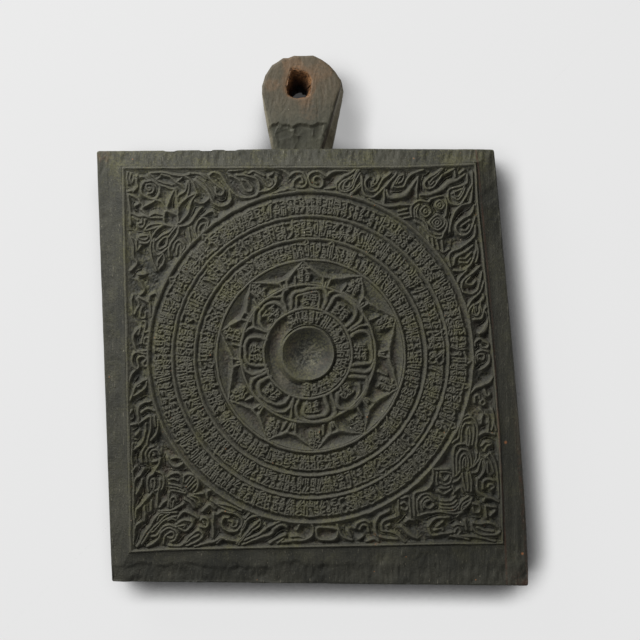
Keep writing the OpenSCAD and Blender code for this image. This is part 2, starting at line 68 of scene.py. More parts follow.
# The board's corners and the middle of the ruled border line, anticlockwise from the bottom left.
# The right side swells beyond a straight line, most of all below its middle.
BOARD = np.array([(-85.85, -111.3), (92.4, -113.1), (77.85, 73.8), (-92.3, 73.0)])
BORDER = np.array([(-77.25, -98.4), (81.65, -95.0), (71.15, 67.9), (-80.55, 65.5)])
RIGHT_SWELL = 1.6
RIGHT_END = BOARD[1][0] - 0.1
BOARD_ROUND = 1.0
BORDER_HALF = 0.8
MARGIN_Z = 29.1
MARGIN_EDGE_Z = 27.5
ARRIS = 0.8
# The right margin falls away this much more than the others.
RIGHT_DROP = 0.8
# The border stands this much less proud of the margin at the top and the left.
LEVEL_RISE = 0.45
# A ragged ledge of tool marks crosses the left half of the foot margin here.
LEDGE_Y = -103.4

# The rings, the star and the lotus were struck from three slightly different centres, and the
# wood has since shrunk across its grain, so every circle is a little taller than it is wide.
RING_C = (-0.75, -15.1)
STAR_C = (-0.65, -14.6)
LOTUS_C = (-1.85, -13.6)
SHRINK = (0.99, 1.01)
RING_HALF = 2.0
LINE_HALF = 0.8
RINGS = {"inner": 48.8, "middle": 58.5, "outer": 68.3}
# Where the marks' heads end and where the crest stands, from the middle of each ring.
HEADS = {"inner": -1.0, "middle": -0.9, "outer": -1.1}
CRESTS = {"inner": 1.3, "middle": 1.2, "outer": 1.85}
STAR_R = 40.5
LOTUS_R = 29.0
HUB_R = 19.0
CUP_RIM_R = 12.2
CUP_R = 11.0
# The direction from the cup in which the hub's band is a plain hollow and the cup's rim is wide.
BARE_TURN = 205
BARE_HALF = 52
# Strokes of the ornament at least as wide as this swell and taper like a leaf. Each crest is
# narrower than the line that shows in the photograph.
LEAF_HALF = 0.5
CREST_SHARE = 0.84
# How deep the knife cut the grounds of the bands, the lotus, the star and the ornament.
BAND_DEPTH = 1.9
LOTUS_DEPTH = 2.2
STAR_DEPTH = 2.3
ORNAMENT_DEPTH = 2.0
# No ground lies lower than this above the seat.
GROUND_FLOOR = SEAT_Z + 0.1
# How many faces a carved piece has round and across it.
FACES = {
    "ring": (1424, 18), "outer_band": (1890, 31), "middle_band": (1610, 29), "inner_band": (1336, 29),
    "hub_band": (571, 25), "star": (1160, 46), "lotus": (860, 42), "cup": (376, 60),
}
LINE_FACES_PER_MM = 26
LINE_FACES_ACROSS = 9

# Directions of the star's tips, of the knobs between them, and of the lotus's petals.
TIPS = [-20, 23.5, 57, 95, 130, 165, 207.5, 242, 273, 305]
KNOBS = [1.5, 44.5, 78, 111, 149.5, 185, 225, 255.5, 288, 321.5]
PETALS = [2, 51, 88, 134, 180, 227, 275, 315]

# Directions, from the rings' centre, of the joints between the eight zones of the ornament.
ZONES = {
    "corner_top_right": (16, 74), "edge_top": (74, 106), "corner_top_left": (106, 159),
    "edge_left": (159, 201), "corner_bottom_left": (201, 253), "edge_bottom": (253, 291),
    "corner_bottom_right": (291, 343), "edge_right": (343, 376),
}

# The handle: its outline at the back, clockwise from its left foot, and the two lines along
# which the knife cut the neck's sides back at the face.
ROOT = (-4.65, 74.3)
HANDLE_BACK = np.array(ROOT) + [
    (-12.8, -0.9), (-14.9, 9.3), (-16.2, 16.8), (-17.1, 23.3), (-17.1, 26.6), (-15.5, 31.1),
    (-12.6, 35.4), (-7.9, 38.5), (-5.6, 38.5), (-3, 39.5), (5, 39.5), (8.8, 37.7), (12, 35.4),
    (14.7, 32.3), (17, 29.2), (18.2, 24.7), (12.7, -0.8)]
HANDLE_FACE = np.array(ROOT) + [
    (-10.9, -0.9), (-16.4, 21.4), (-17, 23.3), (-17, 26.6), (-15.5, 31.1), (-12.6, 35.4),
    (-7.9, 38.5), (-5.6, 38.5), (-3, 39.5), (5, 39.5), (8.8, 37.7), (12, 35.4), (14.7, 32.3),
    (16.8, 29.2), (16.9, 27.6), (16.7, 26.2), (15.7, 21.7), (12.8, 12.5), (9.5, 3.4), (8.2, -0.8)]
NECK_LEAN = math.tan(math.radians(26))
HOLE_C = np.array((-5.85, 99.8))
HOLE_BACK_R = 4.1
# The ragged mouth that wear has opened in the face, as offsets from the hole's middle.
MOUTH = np.array([
    (-3.4, 7.4), (-3.1, 8.2), (-1.6, 8.1), (0.4, 7.5), (2.2, 7.1), (3.8, 6.3), (4.9, 4.9), (5.6, 3.5),
    (5.2, 0.9), (5.0, -1.5), (4.4, -3.1), (2.4, -4.1), (0.0, -4.5), (-2.2, -4.2), (-4.2, -3.2),
    (-5.1, -1.9), (-5.2, 1.0), (-4.7, 3.2), (-4.1, 5.2)])[::-1]

# How far the written strokes below are moved to sit on the field.
FIELD_SHIFT = (-0.35, 1.0)

# Strokes of the ornament, read from the photograph. Each line is one stroke: half the
# width of its raised line, the word closed where it closes on itself, and the x,y of the points
# that it passes through, in millimetres. An indented line goes on with the stroke above it.
TOP_LEFT = """
0.34 closed -58,55.5 -60,51.5 -61.4,46.6 -57,44.5 -57,48.8 -57.4,52.5
0.36 closed -49.3,53.2 -53,51.5 -55.4,49.4 -56.8,46.6 -56.6,41.1 -53.9,43.2 -52.3,45.7 -51.3,49.7
0.3 closed -56.7,49.4 -56.5,52.5 -53.7,54.6 -52.5,58.9 -52,55.9 -53.1,51.5 -55.9,49.4
0.34 -61.6,46.6 -63.1,49.1 -64.3,50.5 -66.8,50.9
0.34 -64.4,55.5 -64.8,53.1 -67.1,50.3 -69.6,48.8 -72,46.9 -69.3,43.7
0.3 closed -69.1,43.5 -67.1,44.9 -63.4,44.5 -63.1,43.2 -65.6,43.1
0.36 closed -61.9,46 -57,44 -57,40.6 -58.8,39.5 -62,40.3 -62.7,43.2
0.36 -62.5,40.5 -66.2,40.6 -69.3,39.9 -70.8,38 -67.7,38.5 -63.1,40
0.36 -58.8,39.7 -62.5,40 -65.6,38.2 -67.7,35.2 -67.1,33.1 -63.1,35.9 -60.6,37.1 -58.8,39.2
0.34 closed -61.3,34.6 -61.6,31.5 -63.4,30.2 -65.1,30.2 -65,32.5 -63.1,34.3
0.34 -67,33.7 -67,29.7 -65,27.5 -62.5,29.1 -60.3,31.2
0.36 -57,39.9 -58.8,37.7 -60.6,35.2
0.36 -56.5,39.5 -57,36.5 -59.4,33.1 -60.6,30.3 -60.3,26.9
0.32 -58.8,29.7 -57.9,32.5 -56.3,33.5 -54.5,32.2 -53.9,30.9 -55.1,28.6
0.32 -57.3,27.5 -57,30.3 -56,31.7 -55.4,29.1 -55.6,27.2
0.32 -63.1,27.8 -62.5,25.7 -63.1,23.5 -64.8,21.7
0.32 -63.4,27.5 -65.3,24.8 -65.3,22.6
0.5 -56.5,39.5 -53.3,39.9 -50.8,41.7 -49,44.8 -46.8,47.4
0.34 -48.6,35.1 -49.6,38.3 -48.3,41.7 -45.9,43.2 -43.9,41.7 -44.5,38.6
0.32 -47.6,36.6 -47.9,38.6 -46.6,40.5 -45.1,40.5 -45.3,38
0.3 -52.3,38.9 -51.7,35.2 -51.1,33.1
0.3 -51.1,39.2 -50.3,37.1 -49.6,34.6
0.5 -46.8,43.5 -44.6,44.9 -41.9,46 -40.6,44.2
0.3 -69.1,56 -68.3,55.4 -69.3,54.8 -70.3,55.5 -70,57.2 -68.3,57.4 -67,56 -67.6,54 -69.6,53.4
0.34 closed -71.4,58.2 -72.4,56.2 -72.2,53.4 -69.9,52 -67.4,51.1 -65.3,52.8 -64.4,54.9 -64.4,56.6 -66.2,58
    -68,58.9 -69.9,58.6
0.34 -68,58.9 -64.3,57.1 -60.3,55.7 -58,55.5
0.3 -74.2,61.1 -74.7,59.7
0.3 -72.7,60.6 -71,60.3 -69.1,58.8
0.3 -69.9,61.1 -68.8,59.4
0.32 -74.2,58 -74.3,55.9 -76,54.3
0.32 -77.6,53.1 -75.4,52.3 -73.5,51.1 -73.2,49.4 -75,48.2
0.32 -72.7,49.7 -71.7,48.5 -72.2,46.8
0.55 -76.7,44.9 -73.6,44 -70.8,44 -69.3,43.4
0.32 -76,43.2 -73.9,42.2
0.32 -72,42.6 -72.3,41.1 -73.9,40.6 -73.4,39.4 -72,39.2 -70.8,40.8 -70.7,42.3
0.32 closed -73.3,35.2 -69.9,35.7 -69.7,34.5 -71.1,33.7 -73.1,34.3
0.32 -68.7,37.1 -68.3,34.6 -69.3,32.8 -71.1,32.2 -72.8,32.5
0.34 -76.7,35.2 -74.5,33.1 -74.2,29.5 -72.7,31.2
0.34 -68,34 -68.4,29.4 -67.6,25.1 -65.9,20.8
0.3 -78.2,53.1 -77.3,48.2 -77,40.2
0.32 -77.3,35.9 -75.9,31.5 -75.7,26.6 -74.3,23.8 -77,20.8
0.32 -68.3,62.3 -63.1,62.4 -59.1,61.5 -55.1,60.9 -52,61.7
0.34 -64,61.7 -60.3,60.5 -57.3,58.6 -55.1,60.2
0.34 -57.3,58.3 -55.4,57.1 -53.6,55.7
0.3 -67.7,61.1 -66.2,59.6 -64.8,60.2
0.36 -53.7,60.8 -50.8,58.6 -49.6,55.9 -48.6,53.4
0.42 -49.4,58.9 -46.2,55.9 -43.5,52.8 -44.6,50.3 -47.1,49.2 -49.3,50.2
0.38 -49.3,59.2 -46.2,57.1 -43.3,53.1 -41.9,49.7 -38.5,47.9 -34.8,49.7 -34.5,53.4 -36,57.4 -38.5,61.1
    -41.3,62.6 -43.6,61.2
0.34 -43.6,61.2 -41.9,58.3 -39.4,56.5 -37.3,54.6 -38.5,52.7 -40.5,53.7 -40.9,55.9
0.32 -52,62.3 -47.7,61.7 -44.6,59.9
"""

TOP = """
0.34 -34.3,61 -30.7,59.2 -29.2,57 -27.8,54.8 -25.6,54.5 -25.1,55.9 -26.3,57.5 -27.6,58.8 -29.2,59.2
0.38 -35.8,57 -34,54.8 -31.4,52.6 -27.4,51.7 -23.4,53 -22.2,56.3 -23.4,59.5 -27.1,61 -31.8,61.3
0.3 -35,63.2 -31.8,63.3 -28.9,63.5
0.3 -28.2,62.4 -26.5,62.1 -24.5,62.8 -21.6,61.7 -20,60.8
0.32 -23.8,61.2 -21.6,60.1 -19.5,57.4 -18,56.5 -16.6,57.4 -16.7,58.8 -18.4,60.4 -16.4,62.1
0.36 -22,54.3 -18.4,54.8 -16.2,56.3 -15,58.4 -15.1,60.3
0.36 -19.5,63.9 -15.8,63.8 -12.6,63.5 -9.1,61.2
0.38 -9.3,60.8 -7.1,62.4 -4.2,62.5 -2.4,60.6 -2.1,58.1 -3.5,56.2 -5.7,56.2
0.34 -7.7,56.5 -7.5,58.6 -6.1,60.1 -4.1,60.4 -3.7,58.3 -4.6,57.9
0.38 6.3,61 3,62.8 0.5,62.4 -1.2,61 -0.8,58.1 1.2,56.3 3.7,56.1 4.9,57.7 4.4,59.9 2.6,60.8 1.2,60.1
    1.2,58.3 2.3,57.7
0.36 6.3,60.8 8.8,62.6 12.8,63.2 16.4,62.8
0.6 -16.6,53.4 -12.6,54.7 -10,55.4 -7.1,55.1
0.6 5.5,55.4 8.4,55.8 10.6,56.3
0.7 10.8,55.2 10.6,57.7 13.5,60.6 16.4,62.1 19.7,64.2
0.34 20.4,63.5 18.6,60.6 17.5,57.4 15.3,55.2 13.7,55.5 13.9,57.7 15.3,59 17.5,61.2
0.34 16.8,53.4 18.6,55.2 20.7,57.4
"""

TOP_RIGHT = """
0.34 19.7,63.5 17.5,60 14.1,59.2 12,57 12.5,54.8 14.9,54.3 17.5,55.7 18.6,58.3 20.7,62.2
0.3 13.9,57.6 14.3,56.3 15.8,56.5 16.5,57.9
0.34 16.7,52.6 19.3,55.3 21.5,57.4 21.1,61.3
0.36 21.5,60.5 21.7,55.3 23.2,52.6 26.2,52 28.8,54 31.9,57 36.2,61.8
0.34 24.5,60.4 22.8,58.5 23.3,55.7 25.4,54.3 28,55.3 30.2,59.2 33.6,62.2
0.3 25.9,58.1 26,56.5 27.5,57.8 29.1,60.3
0.34 31.2,55.3 30.9,52.6 31,49.6
0.9 31.9,54.8 33,52.2 36.2,52 39.7,53.1 42.3,56.1 45.4,60.5
0.32 34.5,56.1 35.8,59 37.3,60.7 39.1,61.3 38.8,59 37.3,57.9
0.32 34.9,56.3 37.1,56 39.5,56.8 40.6,59.4 42.8,61.8 47.5,63.6
0.34 45.4,60.5 44.9,55.7 44.9,51.8
0.32 55.4,63.9 52.8,61.8 49.3,59.6 48,57.4 49.3,55.6 51.5,56.1 53.6,58.3 55.6,61.3
0.3 49.9,58.5 50.6,57.2 52.3,58.5
0.85 46.2,52.9 50.6,53.3 55.4,55.5 58.4,58.1 61.9,59.2 65.4,61.8
0.3 57.1,62.2 60.6,63.9
0.3 61,63.1 61.2,60.5
0.3 63,62 64.7,63.7
0.34 66.3,61.3 66,57.9 63.2,56.5 59.3,55.5 58.1,54 58.4,50.9 59.9,49.1 63,48.7 65.1,51.3 68.2,57.4
0.3 59.7,53.3 61.5,54.3 64.3,55.5
0.3 60.1,52 62.1,50.8 64.1,52.9 65.4,55.9
0.36 68.4,53.1 67.5,49.6 63.6,48.3 60.6,44.8 59.1,40 58.8,37.4
0.5 69.1,48.3 67.8,44.8 63.8,42.4 61.7,40 62.1,37.2 64.3,35.6 66.9,36.8 68.6,40 69.8,43.5
0.3 63.6,39.4 65.4,40.9 67.5,42.2
0.3 64,37.9 65.9,37.9 67.3,40
0.3 70.1,48.7 71.4,45.7 71.9,41.8
0.36 69.8,40 69.5,35.7 67.1,33.1 63.6,30.5 59.3,28.5 58.5,25.7 59.3,22.2
0.6 68.6,31.3 65.1,28.5 61.2,26.3 60.5,23.1
0.34 60.6,20.9 64.9,20.8 68,23.7 69.8,28.7 70.4,33.1
0.3 63.4,25.9 65.4,26 68,28.3
0.3 63.2,24.3 65.8,23.9 67.8,25.9
0.36 71.8,22.7 68.4,19.6 64.9,17 63.8,14 64.4,11.8
0.34 61.7,15 63.6,18.3 66.2,20.9
0.34 64.3,11.7 68,10.8 70.7,12.7 71.9,16.6 72.4,20
0.3 67.5,18.1 65.8,15.7 68,14.6 69.9,16.1
0.32 70.6,31.8 70.9,27.9 69.9,24.4
0.34 66.2,5 68.4,8.3 71.9,11.8 73.2,15.7
0.3 69.1,5.7 68.5,2.7 70.6,1.6 72.1,5.3
0.3 70.1,5.3 70.1,3.5
0.34 73.6,10 71.9,7 72.8,2.7
0.26 closed 48.6,46.7 49.3,45.9 48.6,45.1 47.9,45.9
0.28 closed 48.6,48.2 50.9,45.9 48.6,43.6 46.4,45.9
0.26 closed 54.6,49.4 55.2,48.6 54.6,48 53.9,48.6
0.28 closed 54.6,50.6 56.5,48.6 54.6,46.7 52.7,48.6
0.26 closed 53.5,41.9 54.3,41.1 53.5,40.3 52.8,41.1
0.28 closed 53.5,43.1 55.5,41.1 53.5,39.2 51.6,41.1
0.28 closed 53.5,44.4 56.8,41.1 53.5,37.8 50.2,41.1
0.3 42.8,43.5 42.5,47.9 45.4,50.4 49.7,50 51.2,51.3 56.3,52.3 57.6,49.2 57.2,44.8 56.5,43.1 57.8,40.7
    56.5,36.8 54.9,34.4 51,35.3 47.5,39.6 44.1,42
0.28 44.1,43.5 44,47 46,48.7
0.28 44.9,43.5 48.4,41.3 49.9,37.9 52.8,36.1 55.4,36.1
0.3 49.5,34.8 50.4,31.7
0.3 51.4,34.3 52,30.7
0.3 53.3,33.7 54.1,29.6
0.3 55.5,33.5 56,28.7
0.3 37.1,45.9 40.8,46.9
0.3 37.1,44.2 41.2,45.2
0.3 37.5,42.4 41.7,43.4
0.6 24.5,51.3 28.8,49.2 33.6,48.1 38,48.7 43.2,48.7
0.34 58.5,30 56.2,28.5 54.9,29.2
"""

RIGHT = """
0.36 73.2,10.5 73,8.4 70.3,6.5 68,5.7 66.9,2.7 67.3,0.4
0.34 66.1,5.4 67.8,7.5 69.5,9.6
0.34 69,0 71.8,0.4 73,1.9 73.5,3.7
0.3 69.5,5 69.2,3.5 70.2,1.9 71.5,3
0.3 71.9,6.1 71.4,4.2
0.32 74.9,5.7 73.7,3.8 75.3,1.6
0.8 71.4,-6.2 73,-4.9 74.8,-2.2 75.1,0
0.34 69.5,-11.4 69.7,-9.7 71.8,-8.3 73.5,-9.5 75.3,-10.2 74.9,-11.8 73,-12.2 71.8,-10.8
0.34 69.9,-18.6 69.7,-15.6 71.1,-13.7 73.4,-13.3 75.1,-13.9
0.34 70.9,-17.3 70.5,-15.6 71.6,-14.7 73.4,-15.3 73,-17.2 71.6,-16.9
0.5 75.6,-15.6 75.6,-18.2 73.9,-20.3 72,-21.4
0.6 67.4,-31.8 69.5,-29.4 72.6,-28.1 75.6,-26.6 77,-24.5
0.36 69.5,-35.2 69.5,-32.8 71.1,-32.3 71.8,-33.8
0.28 closed 72.8,-34.2 73.9,-35.4 72.8,-36.6 71.7,-35.4
0.34 73.7,-30.2 74.6,-32.7 75.8,-32.1
0.34 73.7,-40.1 75.3,-41.7 74.7,-44.1
0.34 76.8,-38.4 77.7,-43 76.6,-47.2
0.32 71.8,-38.4 73,-40.3 71.8,-43
"""

BOTTOM_RIGHT = """
0.34 59.8,-52.6 62.6,-50.4 63.2,-46.4 64.6,-43 67.8,-41.8 69.8,-43.6 70.6,-47.2 70.2,-53.2 70.6,-57.2
0.32 63.8,-52.6 64,-47.2 64.8,-44.8 66.7,-44.2 68.6,-44.7 69.2,-47.2 68.4,-53.2
0.28 66.2,-53.4 66.3,-47.8 67.1,-46.1 67.5,-49.2 66.9,-53.6
0.32 64.4,-41.4 66.2,-40.6 68,-40.9
0.36 60.5,-66.9 60.5,-56.4 61.8,-53.7 64.6,-53 66.7,-53.8
0.3 61.9,-65.9 61.9,-58.4 63,-56 64.8,-55.2 66.7,-56 67.9,-58.4 68.2,-63.1
0.3 63.2,-64.5 63.4,-59.5 64.6,-57.5 66.2,-58 66.8,-61.1 66.7,-64.1
0.28 64.6,-63.5 64.5,-60.3 65.4,-59 65.8,-62.7
0.28 64.2,-65.7 64.6,-69.1 65.8,-73.1
0.28 66.2,-65.6 66.7,-69.1 66.6,-73.1
0.28 67.4,-64.8 68.2,-69.1 67.9,-73.3
0.45 51.5,-63.5 51.8,-67.1 50.2,-71.5 47,-73.1 44.1,-74 43.5,-77.1 43.9,-83.5
0.32 51.8,-63.7 55,-63.9 58.6,-63.6
0.32 52.7,-76.7 49.8,-74.3 47,-74.8 45.1,-77.1 45.1,-80.7 45.8,-83.1
0.3 51.9,-77.5 49.5,-75.6 47.5,-76.8 46.7,-79.1 47.5,-81.5
0.32 52,-78.9 50.3,-80.5 48.6,-79.6 48.5,-78 49.9,-77.2
0.3 55.1,-77.1 59,-77.2 61.1,-75.5
0.3 55.1,-78.8 59.5,-78.8 61.7,-77.1
0.3 55.1,-80.3 59.9,-80.3 62.2,-78.3
0.3 55.5,-81.5 60.3,-81.5 62.4,-79.7
0.38 45.5,-83.5 50.2,-82.3 55,-81.9 60.6,-82.7 64.4,-81.9
0.32 61.8,-83.9 64.6,-81.1 66.6,-79.1 68.2,-76.3
0.3 54.2,-73.1 56.6,-74.3 59.4,-72.3
0.3 61,-73.1 63.4,-71.5 64.6,-73.9
0.34 37,-77.1 36.9,-80.3 37.2,-83.5
0.32 37.9,-78.7 39.6,-78 41.2,-79.5 40,-81.1 38.4,-80.4
0.34 38.3,-76.3 41.5,-75.6 41.9,-80.3 42.3,-84.5
0.42 32.9,-81.5 28.7,-83.9 27.1,-87.8 28,-91.8 31.9,-93.1 36.3,-93.5
0.34 35.7,-84.3 32.3,-85.1 30,-86.7 30.3,-89.8 32.7,-90.3 36,-91.5 39.7,-94.7
0.3 33.2,-87.4 31.9,-87.9 32.3,-89.1
0.34 49.8,-88.3 51.8,-85.5 55,-84.3 58.6,-84.3
0.34 50.2,-89 51.1,-91.7 55,-91.4 60,-90.6
0.3 53.4,-88.2 55.9,-85.9
0.3 52.2,-89.9 55.1,-89 55.9,-89.8
0.5 39.9,-86.3 41.5,-85.1 43.5,-85.5
0.6 38.3,-88.3 42.3,-91.9 45.1,-93.1
0.3 61,-90.7 62.2,-88.7 63.5,-89.9 62.7,-91.5
0.34 65.4,-85.9 65.9,-89.5
0.34 closed 68.2,-86.6 69.8,-90.3 74.1,-91.8 79.5,-91 80.1,-89.1 76.1,-86.7 71.4,-87.1
0.28 70.6,-88.6 73.4,-89.8 77.5,-90.2
0.3 59.1,-92.2 63,-92.7 67.1,-93.5
0.3 61,-91.9 70.2,-92.7 78.2,-94.6
0.36 70.6,-67.9 70.6,-72.3 72.6,-74.8 77.3,-76.4 79.8,-77.6
0.32 73,-72 73.2,-69.2 75,-68 77.8,-68.8
0.3 75,-71.2 75.8,-70.2 77.8,-71.2 76.6,-72.4
0.34 71.4,-67.6 73.4,-64.8 73.8,-60.8 72.2,-59.6 70.6,-64.8 68.6,-65.2
0.32 74.6,-61.2 75,-64.8 76.2,-66.4
0.36 71.8,-57.2 71.4,-59.6 68.6,-62.8
0.32 71.8,-57.6 74.2,-59.2
0.32 72.2,-54 74.2,-52.1 75.8,-52.5
0.32 73.7,-56 74.6,-54 76.2,-53.3
0.32 73.8,-58.8 75.4,-57.2
0.34 71.4,-49.3 74.2,-48.1 77.8,-48.9
0.32 74.1,-79.6 74.5,-84.3
0.32 74.1,-79.4 78.6,-79.9
0.3 76.1,-83.5 78.2,-81.5
0.3 68.6,-78.4 71.4,-79.2 71.4,-81.9 69.4,-82.3 68.6,-80.7
0.3 73.4,-77.6 73.8,-76 75.4,-76
0.32 75.4,-43.6 75.3,-47.7
0.32 77.7,-44 78.6,-47.3
0.3 72.6,-40.8 72.2,-44.4
"""

BOTTOM = """
0.36 -30.3,-92.3 -29.4,-88.7 -27.7,-85.7 -25.1,-83.9 -21.5,-83.5
0.32 -28.1,-84.8 -26.4,-82.6
0.34 -31.1,-95.8 -28.5,-92.6 -26.4,-89.6 -22.9,-86.5 -21.8,-85.7 -21.9,-87.8 -24.6,-89.6 -27.7,-92.3
0.42 -28.5,-94 -22.4,-91.4 -18.5,-88.4 -12.9,-85.8
0.32 -19.8,-90 -19,-88.4 -19.8,-87.1
0.6 -29.4,-95.8 -22.4,-93.1 -17.2,-91.3 -15.7,-89.2 -12.8,-87.5 -10.6,-88.4
0.3 -17.7,-95.2 -14.6,-93.1 -11.1,-91.8
0.3 -14.5,-95.2 -12,-93.6
0.32 -5,-87.4 -6.3,-89.7
0.42 -12.4,-94.8 -7.2,-94 -2.9,-93.9 0.2,-91.8 0.7,-88.8 0.1,-87.1
0.32 -8.8,-92.7 -5.5,-92.2 -2.9,-93.1
0.42 closed 2.4,-88.7 5.8,-88.5 10.6,-89 11.2,-90.5 10.2,-93.1 7.1,-93.9 3.3,-93.5 2.2,-91.3
0.34 11,-87.4 12.3,-91.3 14.5,-93.1 17.2,-93.9
0.4 15.4,-90.1 16.8,-92.3
0.32 20.2,-93.5 22,-92.2
0.34 18.5,-88.8 19.7,-86.6 22.4,-85.8 24.6,-86.6
0.32 20.6,-89.2 21.5,-87.5 23.7,-87.9 24.2,-90.1
0.3 23.2,-94.4 26.7,-93.5 28.4,-94.4
"""

BOTTOM_LEFT = """
0.36 -72.2,-60.8 -72.2,-56.9 -70.9,-54.3
0.34 -69.9,-60.5 -70.6,-57.5 -69.3,-54.9 -67.3,-54.3
0.34 -64.4,-57.5 -65.7,-55.6 -68,-55.9 -68.9,-57.9 -68,-60.5 -65.9,-60.1
0.3 -67.5,-56.7 -66.7,-57.5 -67.5,-58
0.6 -61.1,-58.8 -59.8,-61.4 -57.5,-62.8 -55.3,-61.8 -54.2,-60.5
0.3 -59.5,-59.2 -57.5,-58.7 -55.8,-59.2
0.32 -76.4,-65.4 -75.1,-63.1
0.32 -75.8,-73.8 -75.1,-68.3 -72.9,-66.3 -71.2,-63.7
0.32 -74.5,-74.2 -72.5,-70.2 -72.1,-68.3
0.34 -69.3,-73.2 -69.9,-69.9 -69.3,-67 -67.3,-65.4 -65,-61.8 -64.3,-59.2
0.3 -68,-71.5 -68.3,-68.6 -67,-68 -66.6,-69.9 -67.3,-72.6
0.32 -64.3,-68.3 -64.7,-71.9 -66.7,-72.9
0.32 -66,-64.8 -63.1,-66.3 -62.7,-69.9 -63.7,-72.5
0.34 -65,-72.5 -65.6,-76.4 -65.7,-80
0.32 -64.7,-80 -63.4,-78.4 -61.7,-77.1
0.34 -60.5,-73.8 -60.7,-77.1 -60.8,-79.7
0.32 -59.8,-80 -60.1,-76.8 -58.5,-75.5 -57.1,-77.1
0.3 -59.1,-80 -58.8,-77.7
0.5 -44.2,-76.2 -44.5,-73.6 -42.5,-72.6
0.3 -50,-74.5 -46.1,-74.2
0.5 -46.5,-81.7 -44.8,-80.1 -43.1,-78.9 -41.2,-80.7
0.34 -42.9,-76.8 -38.6,-79.7 -33,-82
0.34 -39.9,-78.5 -35.3,-79.1 -29.8,-81.4
0.34 -41.6,-83 -41.8,-87.8 -41.8,-92.7
0.32 -47.4,-85.6 -46.1,-84.3 -44.2,-85.2 -43.8,-87.2 -45.2,-88.5 -47.4,-88.2
0.3 -46.1,-86.3 -45.5,-87.2
0.38 -39.9,-83 -38,-81.7 -35.3,-82.2 -32.1,-83 -29.8,-85 -29.8,-87.6 -31.7,-89.8 -34.7,-90.2 -37.3,-89.1
    -38.2,-86.9 -37.3,-84.6 -35.4,-84.4
0.34 -31.4,-86.3 -32.1,-87.9 -33.7,-88.2 -33.4,-86.4 -34.9,-85.7
0.34 -64.7,-81.7 -60.8,-81.4 -59.1,-81 -54.6,-78.5
0.4 -74.2,-96.7 -71.2,-91.8 -68.6,-88.2 -66.3,-84.3 -64.3,-82.4 -61.1,-82.4 -57.5,-82
0.3 -65.6,-85.9 -64.7,-83.7 -63,-83
0.34 -72.2,-95.4 -68,-89.5 -65.6,-87.2 -62.4,-84 -60.4,-83
0.34 -68,-90.5 -66.6,-89.8 -63.7,-86.3 -60.4,-84.6 -57.5,-83.7
0.34 -68,-92.5 -65.6,-91.8 -63.3,-88.6 -60.4,-87.6 -57.5,-88.6
0.4 -69.9,-96.7 -65.6,-94.1 -63.7,-90.5 -61.1,-88.9 -58.5,-89.5 -57.1,-91.2 -57.8,-93.5 -59.5,-94.8
0.32 -62.8,-95.4 -62.4,-92.8 -61.1,-91.2 -59.1,-90.5 -58.5,-92.1 -59.8,-93.1 -61.1,-92.7
0.32 -61.1,-85.6 -59.4,-84.9 -57.7,-85.6
0.36 -56.9,-84.6 -54.5,-82 -51.9,-82.4 -48.3,-84.6
0.34 -57.5,-87.3 -54.5,-85.6 -50.7,-86 -51.9,-88.9 -53.9,-90.1 -56.5,-88.9
0.3 -57.5,-88.2 -53.9,-87.6 -54.2,-88.6
0.36 -60.5,-96.4 -55.3,-96 -51.7,-92.4 -48.3,-89.9 -46.1,-92.1 -49.3,-94.8 -53.2,-96.4
0.3 -53.9,-95.4 -50.7,-93.1 -48,-91.8
0.6 -49.7,-96.7 -45.5,-95.4 -41.2,-94.4 -37.9,-93.1 -34.7,-94.1 -31.4,-94.4
0.3 -40.3,-95.4 -38.2,-93.5
0.34 -31.8,-95.4 -29.8,-93.1 -27.6,-91.1
0.3 -30.8,-91.8 -29.2,-89.5 -27.9,-86.9
0.32 -74.8,-84.6 -74.5,-81.3 -72.8,-79.4 -70.8,-77.1
0.5 -70.9,-85.6 -70.9,-82.6 -71.2,-79.7
0.32 -68.3,-81.4 -68,-77.2
0.34 -75.1,-89.2 -74.5,-87.5 -72.8,-86.5
0.6 -71.2,-77.8 -69.3,-75.5 -68,-73.9
"""

